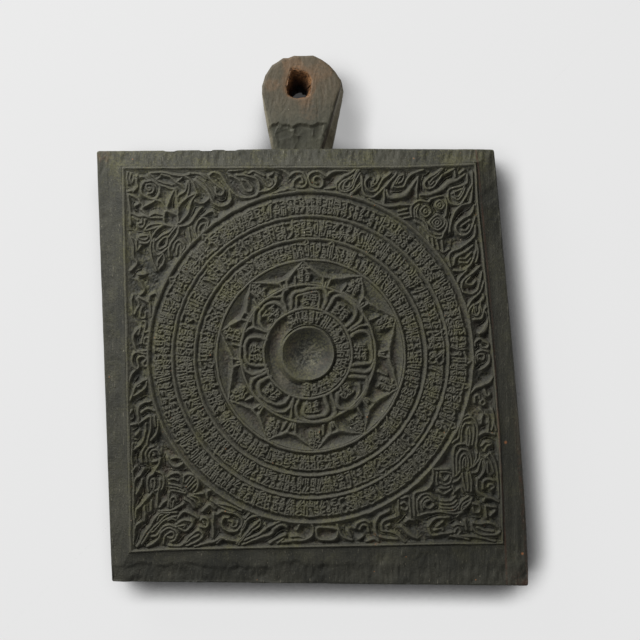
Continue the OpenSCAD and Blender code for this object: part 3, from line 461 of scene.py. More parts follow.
LEFT = """
0.32 -74,17 -72.2,14.3 -71.1,12.1 -72.9,10.3
0.5 -73.4,19 -70.6,19.1
0.32 -76,9.9 -76.7,7.2 -75.6,2.2 -74.4,3.9 -73.3,6.5 -74.4,8.8
0.34 -73.4,9.4 -70.2,7.7 -68.6,6.1 -68.5,1.2
0.32 -69.1,8.2 -68.5,10.3 -66.4,11 -65.2,9.4 -65.8,7.2
0.32 -72.2,5 -72.9,0.7 -70.7,0.6 -70.6,2.8
0.34 -71.8,-1 -70.6,-1.6 -71.3,-5.8 -72.2,-10.2
0.34 -72.6,-3.4 -74.8,-5.3 -75.9,-8 -74.5,-12.9 -71.8,-13.6 -69,-12.9
0.3 -72.6,-3.4 -73.3,-6.4
0.3 -71.3,-5.8 -68.4,-4.8
0.3 -68.8,-8 -70.7,-8 -71.1,-10.3 -69.5,-10.8
0.36 -70.7,-14.7 -74.5,-14 -76.1,-15.7 -76.1,-19 -74.5,-21.1 -73.4,-20.2
0.34 -73.4,-20.2 -74,-16.8 -72.2,-15.6 -70.2,-16.8 -71.7,-18.5 -71.1,-20.1 -69.5,-19.5
0.32 -77.8,-28.8 -76.7,-23.9 -74.5,-21.1
0.36 -70.1,-25.4 -72.9,-27 -75.1,-29.2 -76.6,-33.1 -77.8,-35.8
0.34 -70.1,-26.6 -70.7,-29.2 -73.4,-31.4 -75.6,-32.6
0.3 -74,-28.8 -72.8,-28.1
0.5 -73.4,-44.5 -73.7,-38.4 -71.8,-35.8 -68.4,-34.8
0.34 -72.3,-39.6 -69.6,-38 -66.8,-39
0.34 -75.6,-55.4 -72.3,-52.7 -70.7,-48.3 -70.4,-44.4
0.32 -72.9,-44 -70.2,-41.8 -68.4,-41.8 -68.4,-46.1 -70.1,-53.7
0.34 -65.2,-42.8 -65.8,-48.3 -68.4,-51.6
0.3 -66.8,-41.3 -66.4,-45.5
0.3 -77.2,-45 -74.5,-44.4
0.3 -74.5,-49.3 -73.3,-47.7
0.32 -77.5,-40.6 -76.4,-39
"""

# The lotus's petals, each cut a little differently, in the same form as the ornament.
PETAL_LINES = """
0.62 -17.9,-4.6 -20,-4.3 -21.6,-2.6 -22.1,0 -21.6,2.8 -20,5.2 -17.8,6.8 -15.4,7.1 -13.3,6.1 -11.5,4.2
    -10.9,3
0.42 -24.4,-3.4 -24.7,0 -24.2,3.2 -22.6,5.9
0.5 -10.5,3.4 -11.6,6.5 -12.3,9.4 -11.6,12.6
0.5 -12.4,9.4 -15,9.5 -17.4,9.2 -19.6,8
0.6 -8.6,4.3 -8.5,8 -8.1,10.2 -6.6,11.5 -3,12.4 1,13.1 4.4,13.2 5.9,12 6.4,10 6.1,7.8 4.9,4.6
0.42 -6.2,4.6 -6.1,8.2 -5.9,9.8 -4.2,10.6 0,11.5 2.4,11.8 3.2,10.6 3.4,8 3.1,4.8
0.62 6.4,3.9 8.3,7.2 9.7,9.1 11.3,10 13.1,9.8 14.7,8.8 16.8,7.2 18.4,5.3 18.9,3.2 18.7,1.4 17.6,-0.5
    16.2,-1.9 14.6,-3.1
0.5 7.2,10.2 7.9,11.4 9.4,11.9 12,11.6 14.6,10.6 17.3,8.8 20,6.4 21.4,4 21.9,1.8 21.4,-0.2 19.4,-2.2
    15.6,-4.6
0.55 16.9,-7.4 18.7,-5.8 20.6,-5.2 22.7,-5.3 24.3,-6.3 25.1,-8.2 25.5,-11.2 25.9,-14.6 25.9,-17.2 25,-18.7
    23,-18.9 21,-19.1 17,-19.5
0.42 16.8,-4.9 19,-3.7 21.2,-2.8 23.6,-2.6 25.4,-3.9
0.6 16.6,-21.9 20,-22.2 22.6,-22.4 24.6,-21.7 26,-20 26.8,-17.6
0.66 11,-32 11,-36.2 12.2,-37.9 14.6,-38.4 17.2,-37.8 19.6,-36 21.6,-33.4 23.1,-30.4 23.9,-27.6 23.6,-25.3
    21.6,-24.6 16.4,-24.5
0.4 20.3,-27.9 20.7,-30 20.2,-32 18.9,-34
0.66 5.4,-33 6.8,-36.6 6.9,-38.6 5.9,-40.2 3.8,-41.2 0,-41.8 -2.6,-41.3 -3.4,-39.5 -3,-37.2 -1.8,-36.2
0.6 8.4,-31.8 9.9,-36 10.3,-38.6 9.8,-40.6 8.2,-42.3 5,-43.3 0,-43.6 -3.6,-43 -5.9,-41.2 -6.6,-38.8
    -6.4,-36.6 -5,-33.3
0.42 -7.3,-32.6 -7.9,-36 -8.3,-38.6 -8.6,-41.6
0.6 -16.9,-24.4 -20,-25.7 -21.8,-27 -22.7,-29 -22.3,-31.4 -20.9,-33.4 -18.4,-35 -16,-36 -13.5,-36.4
    -11.5,-35.5 -10.1,-34 -9,-32
0.5 -18,-21.9 -21,-23.4 -24,-24.9 -25.5,-26.6 -25.7,-29 -24.8,-31.4 -22.8,-33.8 -20.6,-35.9 -18,-37.6
    -15.4,-39 -13,-39.5 -10.8,-39 -9,-37.4 -8,-35
0.6 -18.9,-8.7 -20.6,-8.2 -23,-7.6 -25.4,-7.6 -27,-8.6 -28,-10.6 -28.2,-13.4 -28,-16.2 -27.1,-18.4
    -25.6,-19.6 -23,-19.9 -18.9,-19.6
0.55 -28.7,-19.6 -27.6,-22.1 -25,-23.4 -22.6,-22.9 -20.4,-21.8 -18.4,-21
0.38 -19.9,-10 -20.3,-14 -19.8,-18
0.5 -27.9,-5.4 -26,-4 -24.5,-3.4 -22,-4.5 -20,-5.2 -18.2,-5.6
"""

# Finer strokes between the others, all of them open.
FINE = """
0.26 53.6,-65.2 53.2,-67.8 53.6,-70.4
0.26 54.9,-65.2 57,-64.9 59.2,-65.6
0.26 55,-67.2 56,-68.6 57.5,-68.1 58.3,-66.8
0.26 54.8,-69.8 56.6,-70.4 58.8,-69.5 59.5,-67.8
0.26 54.6,-71.7 57,-72 58.8,-71.2
0.26 60.4,-67.2 61.8,-66.4 62.8,-65
0.26 60.2,-69.4 62,-68.6 63.2,-67.2
0.26 60,-71.2 60.8,-72.8 60.2,-74.6
0.26 62.6,-81 63,-78.6 64.4,-77 66.8,-75.4
0.26 63.8,-81.2 64.3,-79.2 65.8,-77.8 68,-76.6
0.26 65,-79.9 66.6,-79.1 68,-77.6
0.26 69.3,-86.2 68.4,-87.6 68.2,-89.8
0.26 76.4,-57 78.2,-61 79.2,-66 79.6,-71 79.9,-76
0.26 75,-58.8 76.6,-61.5 77.6,-65
0.26 72.9,-60.6 73.2,-63.4 72.6,-66
0.26 70.2,-57 70.1,-59.4 68.8,-62 67.4,-63.4
0.26 60.6,-88 62,-87.2 64.4,-87.8
0.26 47.9,-80.1 47.8,-78.3 49.2,-77
0.26 45,43.6 44.8,46 45.6,48
0.26 44.4,41.4 47.2,40.6 49,38.2
0.26 50,57.8 51.6,59.6 53.6,61.4 55.8,63.8
0.26 35.9,57.6 36.9,59.3 38,60.2
0.26 60.6,54.4 61,52.6 62.7,52.3 64,54.5 65.3,57
0.26 68.5,62.6 68.4,58 68.3,53.4 67.6,50.6
0.26 26.8,59.4 26.4,57.8 27.4,57.2
0.24 -51.5,-67.1 -53.6,-69.5
0.24 -50.3,-67.4 -53.3,-71.2
0.24 -49.4,-68.5 -52.6,-72
0.24 -49,-70 -51.6,-72.9
0.24 -60.8,-68.4 -59,-68 -56.8,-68.6
0.24 -60.5,-70 -57.5,-70.7 -55.3,-71.6
0.24 -60,-71.5 -57,-72 -54.4,-73
0.24 -59.5,-72.9 -56.5,-73.4 -53.6,-74
0.24 -51,-75 -48.2,-76.3 -47.3,-78
0.24 -52.6,-75.5 -50,-77 -48.3,-79.2
0.24 -53.8,-76.5 -51.6,-78 -50,-80
0.22 -78.2,62.4 -78.5,60 -77.9,57.4
0.22 -76.8,62 -77.2,59.6 -76.3,58
0.22 -75.4,61 -75.8,58.6
0.3 -76.3,-53 -76.5,-60 -75.9,-67 -75.6,-73 -75.9,-80 -75.3,-88 -75.7,-96
0.3 -78.6,54.3 -76.6,54.7 -75.1,55.8 -74.5,57.5 -74.1,60
0.3 -69,61.9 -67,60.2 -65,58.8 -62,57.7 -59,57
0.3 -48.6,60.2 -45.6,58.2 -42.8,54.9 -41.2,52.6
0.3 -47.2,61.8 -44,60.6 -41.4,57.9
0.5 -61,-67.2 -59.8,-65.9 -58,-65.3 -56,-65.6 -55.1,-67.4
0.5 -54.4,-69.4 -54.2,-67.1 -52.5,-65.9 -50.1,-66.4 -48.6,-68.1 -48.3,-70.5 -49,-72.5 -50.3,-73.8
"""

ORNAMENT = TOP_LEFT + TOP + TOP_RIGHT + RIGHT + BOTTOM_RIGHT + BOTTOM + BOTTOM_LEFT + LEFT + FINE

# Where the border bends away from its straight rules: a place along the side, and how far.
RIGHT_BEND = ((-95, -60, -45, -20, 0, 20, 51, 67), (-0.6, 0.7, 0.9, 0.6, 0, -0.7, -1.9, -1.7))
TOP_BEND = ((-80, -30, 0, 40, 70), (-0.1, -0.8, -1.1, -1.6, -0.9))
FOOT_BEND = ((-77, -60, 60, 82), (0.5, 1.1, 1.0, 0.6))
# How quickly the ground falls beside the border: bottom, right, top and left.
BORDER_FALL = np.array([1.0, 1.0, 0.42, 0.42])
# The margin is nearly level with the border at the top and the left.
LEVEL_SIDES = (2, 3)

# Marks that fill the bands, each in a cell one unit wide and one unit deep, hanging from its
# head at 0. They are plain bars, hooks, arcs and rings, and spell nothing. A ring is given by
# its middle and its radius.
MARKS = [
    [[(0.05, 0.02), (0.95, 0)], [(0.2, 0), (0.2, 0.85)], [(0.8, 0), (0.75, 0.5), (0.95, 0.95)],
     [(0.2, 0.5), (0.5, 0.62), (0.75, 0.48)]],
    [[(0, 0), (1, 0.03)], [(0.82, 0), (0.8, 1)], [(0.8, 0.35), (0.4, 0.22), (0.15, 0.45), (0.4, 0.68)],
     [(0.35, 0.95), (0.6, 0.8)]],
    [[(0.1, 0.05), (0.9, 0)], [(0.2, 0.3), (0.8, 0.2)], [(0.2, 0.55), (0.8, 0.45)],
     [(0.85, 0), (0.85, 0.75), (0.4, 1)], [(0.15, 0.1), (0.15, 0.8)]],
    [[(0, 0), (0.7, 0)], (0.5, 0.36, 0.6), [(0.5, 0.5), (0.25, 0.75), (0.6, 1)]],
    [[(0, 0.02), (1, 0)], [(0.9, 0.1), (0.6, 0.5), (0.35, 0.95)], [(0.55, 0.1), (0.05, 0.7)]],
    [[(0.1, 0.06), (0.65, 0.02), (0.75, 0.3), (0.3, 0.42)],
     [(0.3, 0.45), (0.85, 0.5), (0.8, 0.85), (0.2, 0.95)], [(0.95, 0), (0.95, 0.4)]],
    [[(0.1, 0), (0.08, 0.85)], [(0.5, 0.08), (0.52, 1)], [(0.92, 0), (0.9, 0.9)],
     [(0.1, 0.4), (0.5, 0.5)]],
    [[(0, 0), (1, 0)], (0.28, 0.3, 0.5), (0.72, 0.58, 0.5), [(0.28, 0.45), (0.4, 0.95)],
     [(0.9, 0.05), (0.85, 0.35)]],
    [[(0.9, 0.05), (0.3, 0.08), (0.1, 0.45), (0.4, 0.8), (0.85, 0.65), (0.6, 0.35)], [(0.2, 1), (0.9, 0.95)]],
    [[(0.1, 0), (0.9, 0)], [(0.5, 0), (0.5, 0.35)], (0.5, 0.55, 0.55),
     [(0.15, 0.85), (0.5, 0.95), (0.9, 0.85)]],
    [[(0, 0.04), (0.5, 0), (0.9, 0.25), (0.45, 0.5), (0.1, 0.4)], [(0.45, 0.5), (0.9, 0.75), (0.6, 1)],
     [(0.05, 0.7), (0.3, 0.95)]],
    [[(0.05, 0), (0.95, 0)], [(0.25, 0.2), (0.25, 0.9), (0.8, 0.85)],
     [(0.6, 0.15), (0.85, 0.45), (0.55, 0.6)]],
]


# Unevenness

def wander(x, y, size, seed):
    """Smooth unevenness between -1 and 1, with swells of the given size."""
    table = np.random.default_rng(seed).uniform(-1, 1, (64, 64))
    gx = np.asarray(x, float) / size
    gy = np.asarray(y, float) / size
    ix = np.floor(gx).astype(int)
    iy = np.floor(gy).astype(int)
    fx = gx - ix
    fy = gy - iy
    fx = fx * fx * (3 - 2 * fx)
    fy = fy * fy * (3 - 2 * fy)
    low = table[ix % 64, iy % 64] * (1 - fx) + table[(ix + 1) % 64, iy % 64] * fx
    high = table[ix % 64, (iy + 1) % 64] * (1 - fx) + table[(ix + 1) % 64, (iy + 1) % 64] * fx
    return low * (1 - fy) + high * fy


def gouges(x, y, box, count, length, width, depth, heading, seed, spread=10, flat=2):
    """Depth of overlapping gouge cuts: long shallow scoops, the deepest of them winning. A higher
    flat gives cuts with a flatter floor and steeper sides."""
    rng = np.random.default_rng(seed)
    deepest = np.zeros_like(x)
    for _ in range(count):
        cx = rng.uniform(box[0], box[2])
        cy = rng.uniform(box[1], box[3])
        turn = math.radians(heading + rng.normal(0, spread))
        long = length * rng.uniform(0.6, 1.4)
        wide = width * rng.uniform(0.7, 1.3)
        deep = depth * rng.uniform(0.5, 1.0)
        near = np.hypot(x - cx, y - cy) < max(long, wide)
        dx = x[near] - cx
        dy = y[near] - cy
        along = (dx * math.cos(turn) + dy * math.sin(turn)) / long
        across = (dy * math.cos(turn) - dx * math.sin(turn)) / wide
        across = across + 0.25 * along
        deepest[near] = np.maximum(deepest[near], deep * (1 - np.abs(along) ** flat - np.abs(across) ** flat))
    return deepest


# Paths

def smooth_path(points, closed, steps):
    """A smooth curve through the points."""
    p = np.array(points, float)
    if len(p) < 3:
        return p
    if closed:
        q = np.vstack([p[-1], p, p[0], p[1]])
    else:
        q = np.vstack([2 * p[0] - p[1], p, 2 * p[-1] - p[-2]])
    out = []
    for a, b, c, d in zip(q, q[1:], q[2:], q[3:]):
        for t in np.linspace(0, 1, steps, endpoint=False):
            out.append(0.5 * (2 * b + (c - a) * t + (2 * a - 5 * b + 4 * c - d) * t ** 2
                              + (3 * b - a - 3 * c + d) * t ** 3))
    out.append(q[-2])
    return np.array(out)


def polar(centre, radius, degrees):
    """A point of a struck circle, with the wood's shrinkage."""
    turn = np.radians(degrees)
    return np.stack([centre[0] + radius * SHRINK[0] * np.cos(turn),
                     centre[1] + radius * SHRINK[1] * np.sin(turn)], axis=-1)


def radius_about(centre, x, y):
    """Distance from a struck circle's centre, with the wood's shrinkage taken out."""
    return np.hypot((x - centre[0]) / SHRINK[0], (y - centre[1]) / SHRINK[1])


def circle_path(centre, radius, count):
    """A small circle as a closed path."""
    turn = np.linspace(0, 2 * math.pi, count, endpoint=False)
    return np.stack([centre[0] + radius * np.cos(turn), centre[1] + radius * np.sin(turn)], axis=-1)


def outside(centre, radius, x, y, steep=1.0):
    """Gap outwards from a struck circle, grown where its flank is steeper."""
    return (radius_about(centre, x, y) - radius) * steep


def inside(centre, radius, x, y, steep=1.0):
    """Gap inwards from a struck circle."""
    return -outside(centre, radius, x, y, steep)


def side_distances(quad, x, y):
    """Distance inwards from each of an anticlockwise quad's sides."""
    found = []
    for a, b in zip(quad, np.roll(quad, -1, axis=0)):
        run = (b - a) / np.linalg.norm(b - a)
        found.append((y - a[1]) * run[0] - (x - a[0]) * run[1])
    return np.array(found)


def inset(quad, by):
    """The quad with each side moved inwards."""
    runs = np.roll(quad, -1, axis=0) - quad
    runs = runs / np.linalg.norm(runs, axis=1)[:, None]
    inward = np.stack([-runs[:, 1], runs[:, 0]], axis=-1)
    before = np.roll(inward, 1, axis=0)
    return quad + (inward + before) * by / (1 + np.sum(inward * before, axis=1))[:, None]


# Relief

class Relief:
    """How far each place of the field is from the nearest raised line, in millimetres."""
    CELL = 0.1
    REACH = 2.8
    FAR = 4.0

    def __init__(self):
        self.x0, self.y0 = inset(BORDER, -2).min(axis=0)
        x1, y1 = inset(BORDER, -2).max(axis=0)
        self.gap = np.full((int((y1 - self.y0) / self.CELL), int((x1 - self.x0) / self.CELL)),
                           self.FAR, np.float32)
        self.rng = np.random.default_rng(7)

    def stamp(self, a, b, half_a, half_b, steep):
        """One straight stretch of a raised line."""
        margin = max(half_a, half_b) + self.REACH / steep
        low = ((np.minimum(a, b) - margin - (self.x0, self.y0)) / self.CELL).astype(int)
        high = ((np.maximum(a, b) + margin - (self.x0, self.y0)) / self.CELL).astype(int) + 1
        i0, j0 = np.maximum(low, 0)
        i1, j1 = np.minimum(high, self.gap.shape[::-1])
        if i0 >= i1 or j0 >= j1:
            return
        x = self.x0 + np.arange(i0, i1, dtype=np.float32) * self.CELL - a[0]
        y = (self.y0 + np.arange(j0, j1, dtype=np.float32) * self.CELL - a[1])[:, None]
        run = b - a
        along = np.clip((x * run[0] + y * run[1]) / max(run @ run, 1e-9), 0, 1)
        apart = np.hypot(x - along * run[0], y - along * run[1])
        gap = (apart - half_a - (half_b - half_a) * along) * steep
        view = self.gap[j0:j1, i0:i1]
        np.minimum(view, gap, out=view)

    def stroke(self, points, half, closed=False, steep=1.0, taper=None, steps=5, unsteady=0.11):
        """A raised line cut by hand along a smooth path."""
        path = smooth_path(points, closed, steps)
        count = len(path)
        sway = self.rng.uniform(-1, 1, (4, 2)) * 6
        path = path + unsteady * np.stack([wander(path[:, 0], path[:, 1], 1.7, 11),
                                           wander(path[:, 1], path[:, 0], 1.7, 12)], axis=-1)
        share = np.linspace(0, 1, count)
        halves = np.full(count, half) * (1 + 0.26 * wander(share * 9 + sway[0, 0], share, 1, 13))
        if taper == "leaf":
            halves = 0.18 + (halves - 0.18) * np.sin(math.pi * np.clip(share, 0.03, 0.97)) ** 0.8
        if taper == "tip":
            halves = halves * (1 - 0.62 * share)
        for k in range(count - 1):
            self.stamp(path[k], path[k + 1], halves[k], halves[k + 1], steep)

    def find_spines(self):
        """Marks the middle of every ground that lies between two raised lines."""
        smooth = self.gap.copy()
        for axis in (0, 1):
            for _ in range(4):
                smooth = (np.roll(smooth, 1, axis) + smooth * 2 + np.roll(smooth, -1, axis)) / 4
        rise_y, rise_x = np.gradient(smooth, self.CELL)
        level = np.clip((0.85 - np.hypot(rise_x, rise_y)) / 0.5, 0, 1)
        wide = np.clip((self.gap - 0.42) / 0.3, 0, 1) * np.clip((2.4 - self.gap) / 0.3, 0, 1)
        self.spine = (level * wide).astype(np.float32)

    def sample(self, grid, x, y):
        """A grid's value at any places, by interpolation."""
        gx = np.clip((x - self.x0) / self.CELL, 0, grid.shape[1] - 1.001)
        gy = np.clip((y - self.y0) / self.CELL, 0, grid.shape[0] - 1.001)
        i = gx.astype(int)
        j = gy.astype(int)
        fx = gx - i
        fy = gy - j
        return ((grid[j, i] * (1 - fx) + grid[j, i + 1] * fx) * (1 - fy)
                + (grid[j + 1, i] * (1 - fx) + grid[j + 1, i + 1] * fx) * fy)

    def at(self, x, y):
        """The gap at any places, a little unsteady."""
        return self.sample(self.gap, x, y) + 0.07 * wander(x, y, 0.45, 14) + 0.1 * wander(x, y, 1.4, 15)


def read_strokes(written):
    """Half-width, points and whether it closes on itself, for each stroke of a text."""
    for line in written.replace("\n    ", " ").split("\n"):
        if line:
            half, *points = line.split()
            closed = points[0] == "closed"
            places = np.array([point.split(",") for point in points[closed:]], float)
            yield float(half), places + FIELD_SHIFT, closed


def stroke_item(relief, put, item, half, rng, loose):
    """One bar, hook or small ring of a mark, set a little loosely in its cell."""
    if isinstance(item, tuple):
        spot = put(item[0] + rng.normal(0, loose), item[1] + rng.normal(0, loose))
        relief.stroke(circle_path(spot, item[2] * rng.uniform(0.85, 1.2), 8), half * 0.9, True, steps=3)
    else:
        points = [put(s + rng.normal(0, loose), t + rng.normal(0, loose * 0.8)) for s, t in item]
        relief.stroke(points, half, steps=4, unsteady=0.08)


def stroke_marks(relief, centre, r_head, r_foot, start, sweep, seed, half=0.25, narrow=1.9, wide=3.5):
    """Fills a band with marks that hang from its outer side, tall ones and ones in two tiers."""
    rng = np.random.default_rng(seed)
    middle = (r_head + r_foot) / 2
    whole = middle * math.radians(sweep)
    widths = []
    while sum(widths) < whole:
        widths.append(rng.uniform(narrow, wide))
    scale = whole / sum(widths)
    place = 0.0
    for width in widths:
        width *= scale
        turn0 = start + math.degrees(place / middle)
        turn1 = math.degrees((width - 0.5) / middle)
        flip = rng.random() < 0.4
        lean = rng.normal(0, 0.12)
        deep = (r_head - r_foot) * rng.uniform(0.86, 1.0)
        tiers = [(0.0, 1.0)] if rng.random() < 0.2 else [(0.0, 0.52), (0.58, 0.42)]
        for top, share in tiers:

            def put(s, t):
                t = top + t * share
                s = s + lean * t
                return polar(centre, r_head - t * deep, turn0 + turn1 * (s if flip else 1 - s))

            for item in MARKS[int(rng.integers(len(MARKS)))]:
                stroke_item(relief, put, item, half, rng, 0.06)
        if rng.random() < 0.14:
            relief.stroke([put(0.1, -0.15), put(0.5, -0.36), put(0.9, -0.12)], half, steps=4)
        place += width


def stroke_star(relief):
    """The star's ridges, its knobs and what fills its points."""
    for k, tip in enumerate(TIPS):
        knob = KNOBS[k]
        top = polar(STAR_C, STAR_R - 0.4, tip)
        for foot in (KNOBS[k - 1] + 2.6, knob - 2.6):
            base = polar(STAR_C, 33.4, foot)
            relief.stroke([base, base * 0.5 + top * 0.5, top], 0.55, steep=0.65, taper="tip", unsteady=0.22)
        knob_corners = ((29.6, -1.5), (33.9, -3.1), (33.9, 3.1), (29.6, 1.5))
        corners = [polar(STAR_C, r, knob + s) for r, s in knob_corners]
        for a, b in zip(corners, corners[1:] + corners[:1]):
            relief.stroke([a, b], 0.4, unsteady=0.08)
        relief.stroke([polar(STAR_C, 31.4, knob), polar(STAR_C, 29.4, knob)], 0.45)
        relief.stroke(circle_path(polar(STAR_C, 37.9, tip), 0.6, 8), 0.26, True, steps=3)
        relief.stroke([polar(STAR_C, 29.8, tip + 7.5), polar(STAR_C, 33.6, tip + 6.2)], 0.36, unsteady=0.2)
        rng = np.random.default_rng(300 + k)
        for j in range(4):

            def put(s, t):
                return polar(STAR_C, 36.9 - (t + j // 2) * 2.7, tip + (s * 0.85 + j % 2 - 0.93) * 4.3)

            for item in MARKS[int(rng.integers(len(MARKS)))]:
                stroke_item(relief, put, item, 0.25, rng, 0.08)


def stroke_lotus(relief):
    """The petals' frames and what fills them."""
    for half, points, closed in read_strokes(PETAL_LINES):
        relief.stroke(points, half, closed, unsteady=0.24)
    for k, petal in enumerate(PETALS):
        rng = np.random.default_rng(500 + k)
        for j in range(4):

            def put(s, t):
                along = (s * 0.84 + j % 2 - 0.92) * 3.5
                r = 24.9 - (t + j // 2) * 2.4
                return polar(LOTUS_C, r, petal + math.degrees(along / r))

            for item in MARKS[int(rng.integers(len(MARKS)))]:
                stroke_item(relief, put, item, 0.24, rng, 0.08)


def band_foot(name):
    """Radius at which the band inside a ring begins."""
    names = list(RINGS)
    if name == names[0]:
        return STAR_R + LINE_HALF
    before = names[names.index(name) - 1]
    return RINGS[before] + CRESTS[before] + 0.15


@functools.lru_cache(maxsize=1)
def relief_map():
    """Every raised line of the field but the circles and the border."""
    relief = Relief()
    for half, points, closed in read_strokes(ORNAMENT):
        taper = "leaf" if half >= LEAF_HALF else None
        relief.stroke(points, half * CREST_SHARE, closed, taper=taper, unsteady=0.16)
    for k, (name, radius) in enumerate(RINGS.items()):
        stroke_marks(relief, RING_C, radius + HEADS[name] - 0.25, band_foot(name) + 0.25, 0, 360, 40 + k)
    stroke_marks(relief, LOTUS_C, HUB_R - LINE_HALF - 0.4, CUP_RIM_R + 0.3, -96, 220, 61,
                 half=0.27, narrow=2.5, wide=4.0)
    stroke_star(relief)
    stroke_lotus(relief)
    relief.find_spines()
    return relief


def cut_depth(gap, deepest, steepness=2.2):
    """Depth of the knife's cut beside a raised line. A narrow gap stays shallow."""
    cut = deepest * (1 - np.exp(-steepness * np.maximum(gap, 0) / deepest))
    rounding = 0.3 * np.clip((gap + 0.45) / 0.45, 0, 1) ** 2
    return np.where(gap > 0, cut + 0.3, rounding)


def carve(x, y, deepest, *more, echo=0.0):
    """Height of the carved field, given the gaps to any circles and rules beside it. An echo is a
    low ridge along the middle of the grounds."""
    relief = relief_map()
    gap = relief.at(x, y)
    for other in more:
        gap = np.minimum(gap, other)
    lean = x - y - 15
    shallow = np.where(lean > 0, 0.1, 0.2) * np.clip((np.abs(lean) - 45) / 50, 0, 1)
    depth = cut_depth(gap, deepest) * (1 - shallow)
    if echo:
        broken = np.clip(0.7 + 1.2 * wander(x, y, 4.5, 24), 0, 1)
        depth = depth * (1 - echo * broken * relief.sample(relief.spine, x, y))
    ground = np.clip((depth - 0.35 * deepest) / (0.6 * deepest), 0, 1)
    rough = 0.3 * wander(x, y, 1.9, 21) + 0.24 * wander(x, y, 0.8, 22)
    worn = 0.08 + 0.07 * wander(x, y, 7, 23) + 0.05 * wander(x, y, 0.9, 26)
    return np.clip(FACE_Z - depth + ground * rough - worn * (1 - ground), GROUND_FLOOR, FACE_Z)


# Meshes

def clear_selection():
    """Leaves edit mode and selects nothing."""
    if bpy.context.object and bpy.context.object.mode != "OBJECT":
        bpy.ops.object.mode_set(mode="OBJECT")
    bpy.ops.object.select_all(action="DESELECT")


def shaped_grid(name, x, y, z, smooth_angle=72):
    """A grid primitive with its points moved to the given places, merged at its seams and poles
    and capped where it is open."""
    clear_selection()
    rows, columns = x.shape
    bpy.ops.mesh.primitive_grid_add(x_subdivisions=columns - 1, y_subdivisions=rows - 1, size=1)
    piece = bpy.context.object
    piece.name = name
    piece.data.name = name
    places = np.stack([x, y, z], axis=-1).reshape(-1, 3) * MM
    piece.data.vertices.foreach_set("co", places.astype(np.float32).ravel())
    bpy.ops.object.mode_set(mode="EDIT")
    bpy.ops.mesh.select_all(action="SELECT")
    bpy.ops.mesh.remove_doubles(threshold=0.002 * MM)
    bpy.ops.mesh.select_all(action="DESELECT")
    bpy.ops.mesh.select_mode(type="VERT")
    bpy.ops.mesh.select_non_manifold(extend=False, use_wire=False, use_boundary=True,
                                     use_multi_face=False, use_non_contiguous=False, use_verts=False)
    bpy.ops.mesh.fill_holes(sides=0)
    bpy.ops.mesh.select_all(action="SELECT")
    bpy.ops.mesh.normals_make_consistent(inside=False)
    bpy.ops.object.mode_set(mode="OBJECT")
    bpy.ops.object.shade_smooth_by_angle(angle=math.radians(smooth_angle))
    return piece


class Skin:
    """The closed rows of points that make the skin of a piece, one after another."""

    def __init__(self):
        self.loops = []
        self.heights = []

    def add(self, loop, z):
        """Adds a row at one height, or at a height for each point."""
        self.loops.append(loop)
        self.heights.append(np.broadcast_to(z, len(loop)))

    def mesh(self, name, *smooth_angle):
        points = np.array(self.loops)
        return shaped_grid(name, points[..., 0], points[..., 1], np.array(self.heights), *smooth_angle)


def seated(x, y, z):
    """Adds to a carved face the rows of its two walls and its seat, back to the first row."""
    def wrap(a, first, last):
        return np.vstack([a, last, first, a[:1]])
    flat = np.full_like(z[:1], SEAT_Z)
    return wrap(x, x[:1], x[-1:]), wrap(y, y[:1], y[-1:]), wrap(z, flat, flat)


def round_tile(name, c_in, r_in, c_out, r_out, faces, height):
    """A carved face between two circles, as a closed piece on its seat."""
    around, across = faces
    turn = np.linspace(0, 360, around + 1)
    share = np.linspace(0, 1, across + 1)[:, None, None]
    points = polar(c_in, r_in, turn) * (1 - share) + polar(c_out, r_out, turn) * share
    x, y = points[..., 0], points[..., 1]
    return shaped_grid(name, *seated(x, y, height(x, y)))


def dressed(piece, slot, look, *nodes):
    """Gives a finished piece its material and its place in the object."""
    piece.data.materials.clear()
    piece.data.materials.append(material(look))
    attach(piece, "root")
    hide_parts(*nodes)


# Circles, bands, star, lotus and cup

def ring_height(centre, radius, head, crest):
    """A ring: the marks' heads, a channel below them and a round-topped ridge beyond it."""
    def height(x, y):
        t = radius_about(centre, x, y) - radius + 0.14 * wander(x, y, 3.1, 31) + 0.07 * wander(x, y, 1.1, 30)
        stations = [head, head + 0.25, crest - 1.6, crest - 1.1, crest - 0.62, crest - 0.2, crest + 0.1]
        fall = np.interp(t, stations, [1.8, 1.7, 1.5, 0.75, 0.2, 0.0, 0.06])
        fall = np.where(t > crest + 0.1, cut_depth(t - crest - 0.15, 1.9), fall)
        fall = np.where(t < head, 9, fall)
        fall = fall + 0.12 * wander(x, y, 1.3, 33) * (fall > 0.3) + 0.08 + 0.08 * wander(x, y, 2, 32)
        return np.clip(np.maximum(FACE_Z - fall, carve(x, y, BAND_DEPTH) - 0.05), GROUND_FLOOR, FACE_Z)
    return height


def line_height(centre, radius):
    """A single raised line with sloping flanks."""
    def height(x, y):
        t = np.abs(radius_about(centre, x, y) - radius + 0.16 * wander(x, y, 3, 34))
        gap = np.minimum(t - 0.5 - 0.08 * wander(x, y, 1.6, 36), relief_map().at(x, y))
        return np.clip(FACE_Z - 0.02 - cut_depth(gap, 2.0), GROUND_FLOOR, FACE_Z)
    return height


def band_height(centre, foot):
    """A band's marks on their sunk ground."""
    def height(x, y):
        return carve(x, y, BAND_DEPTH, outside(centre, foot, x, y))
    return height


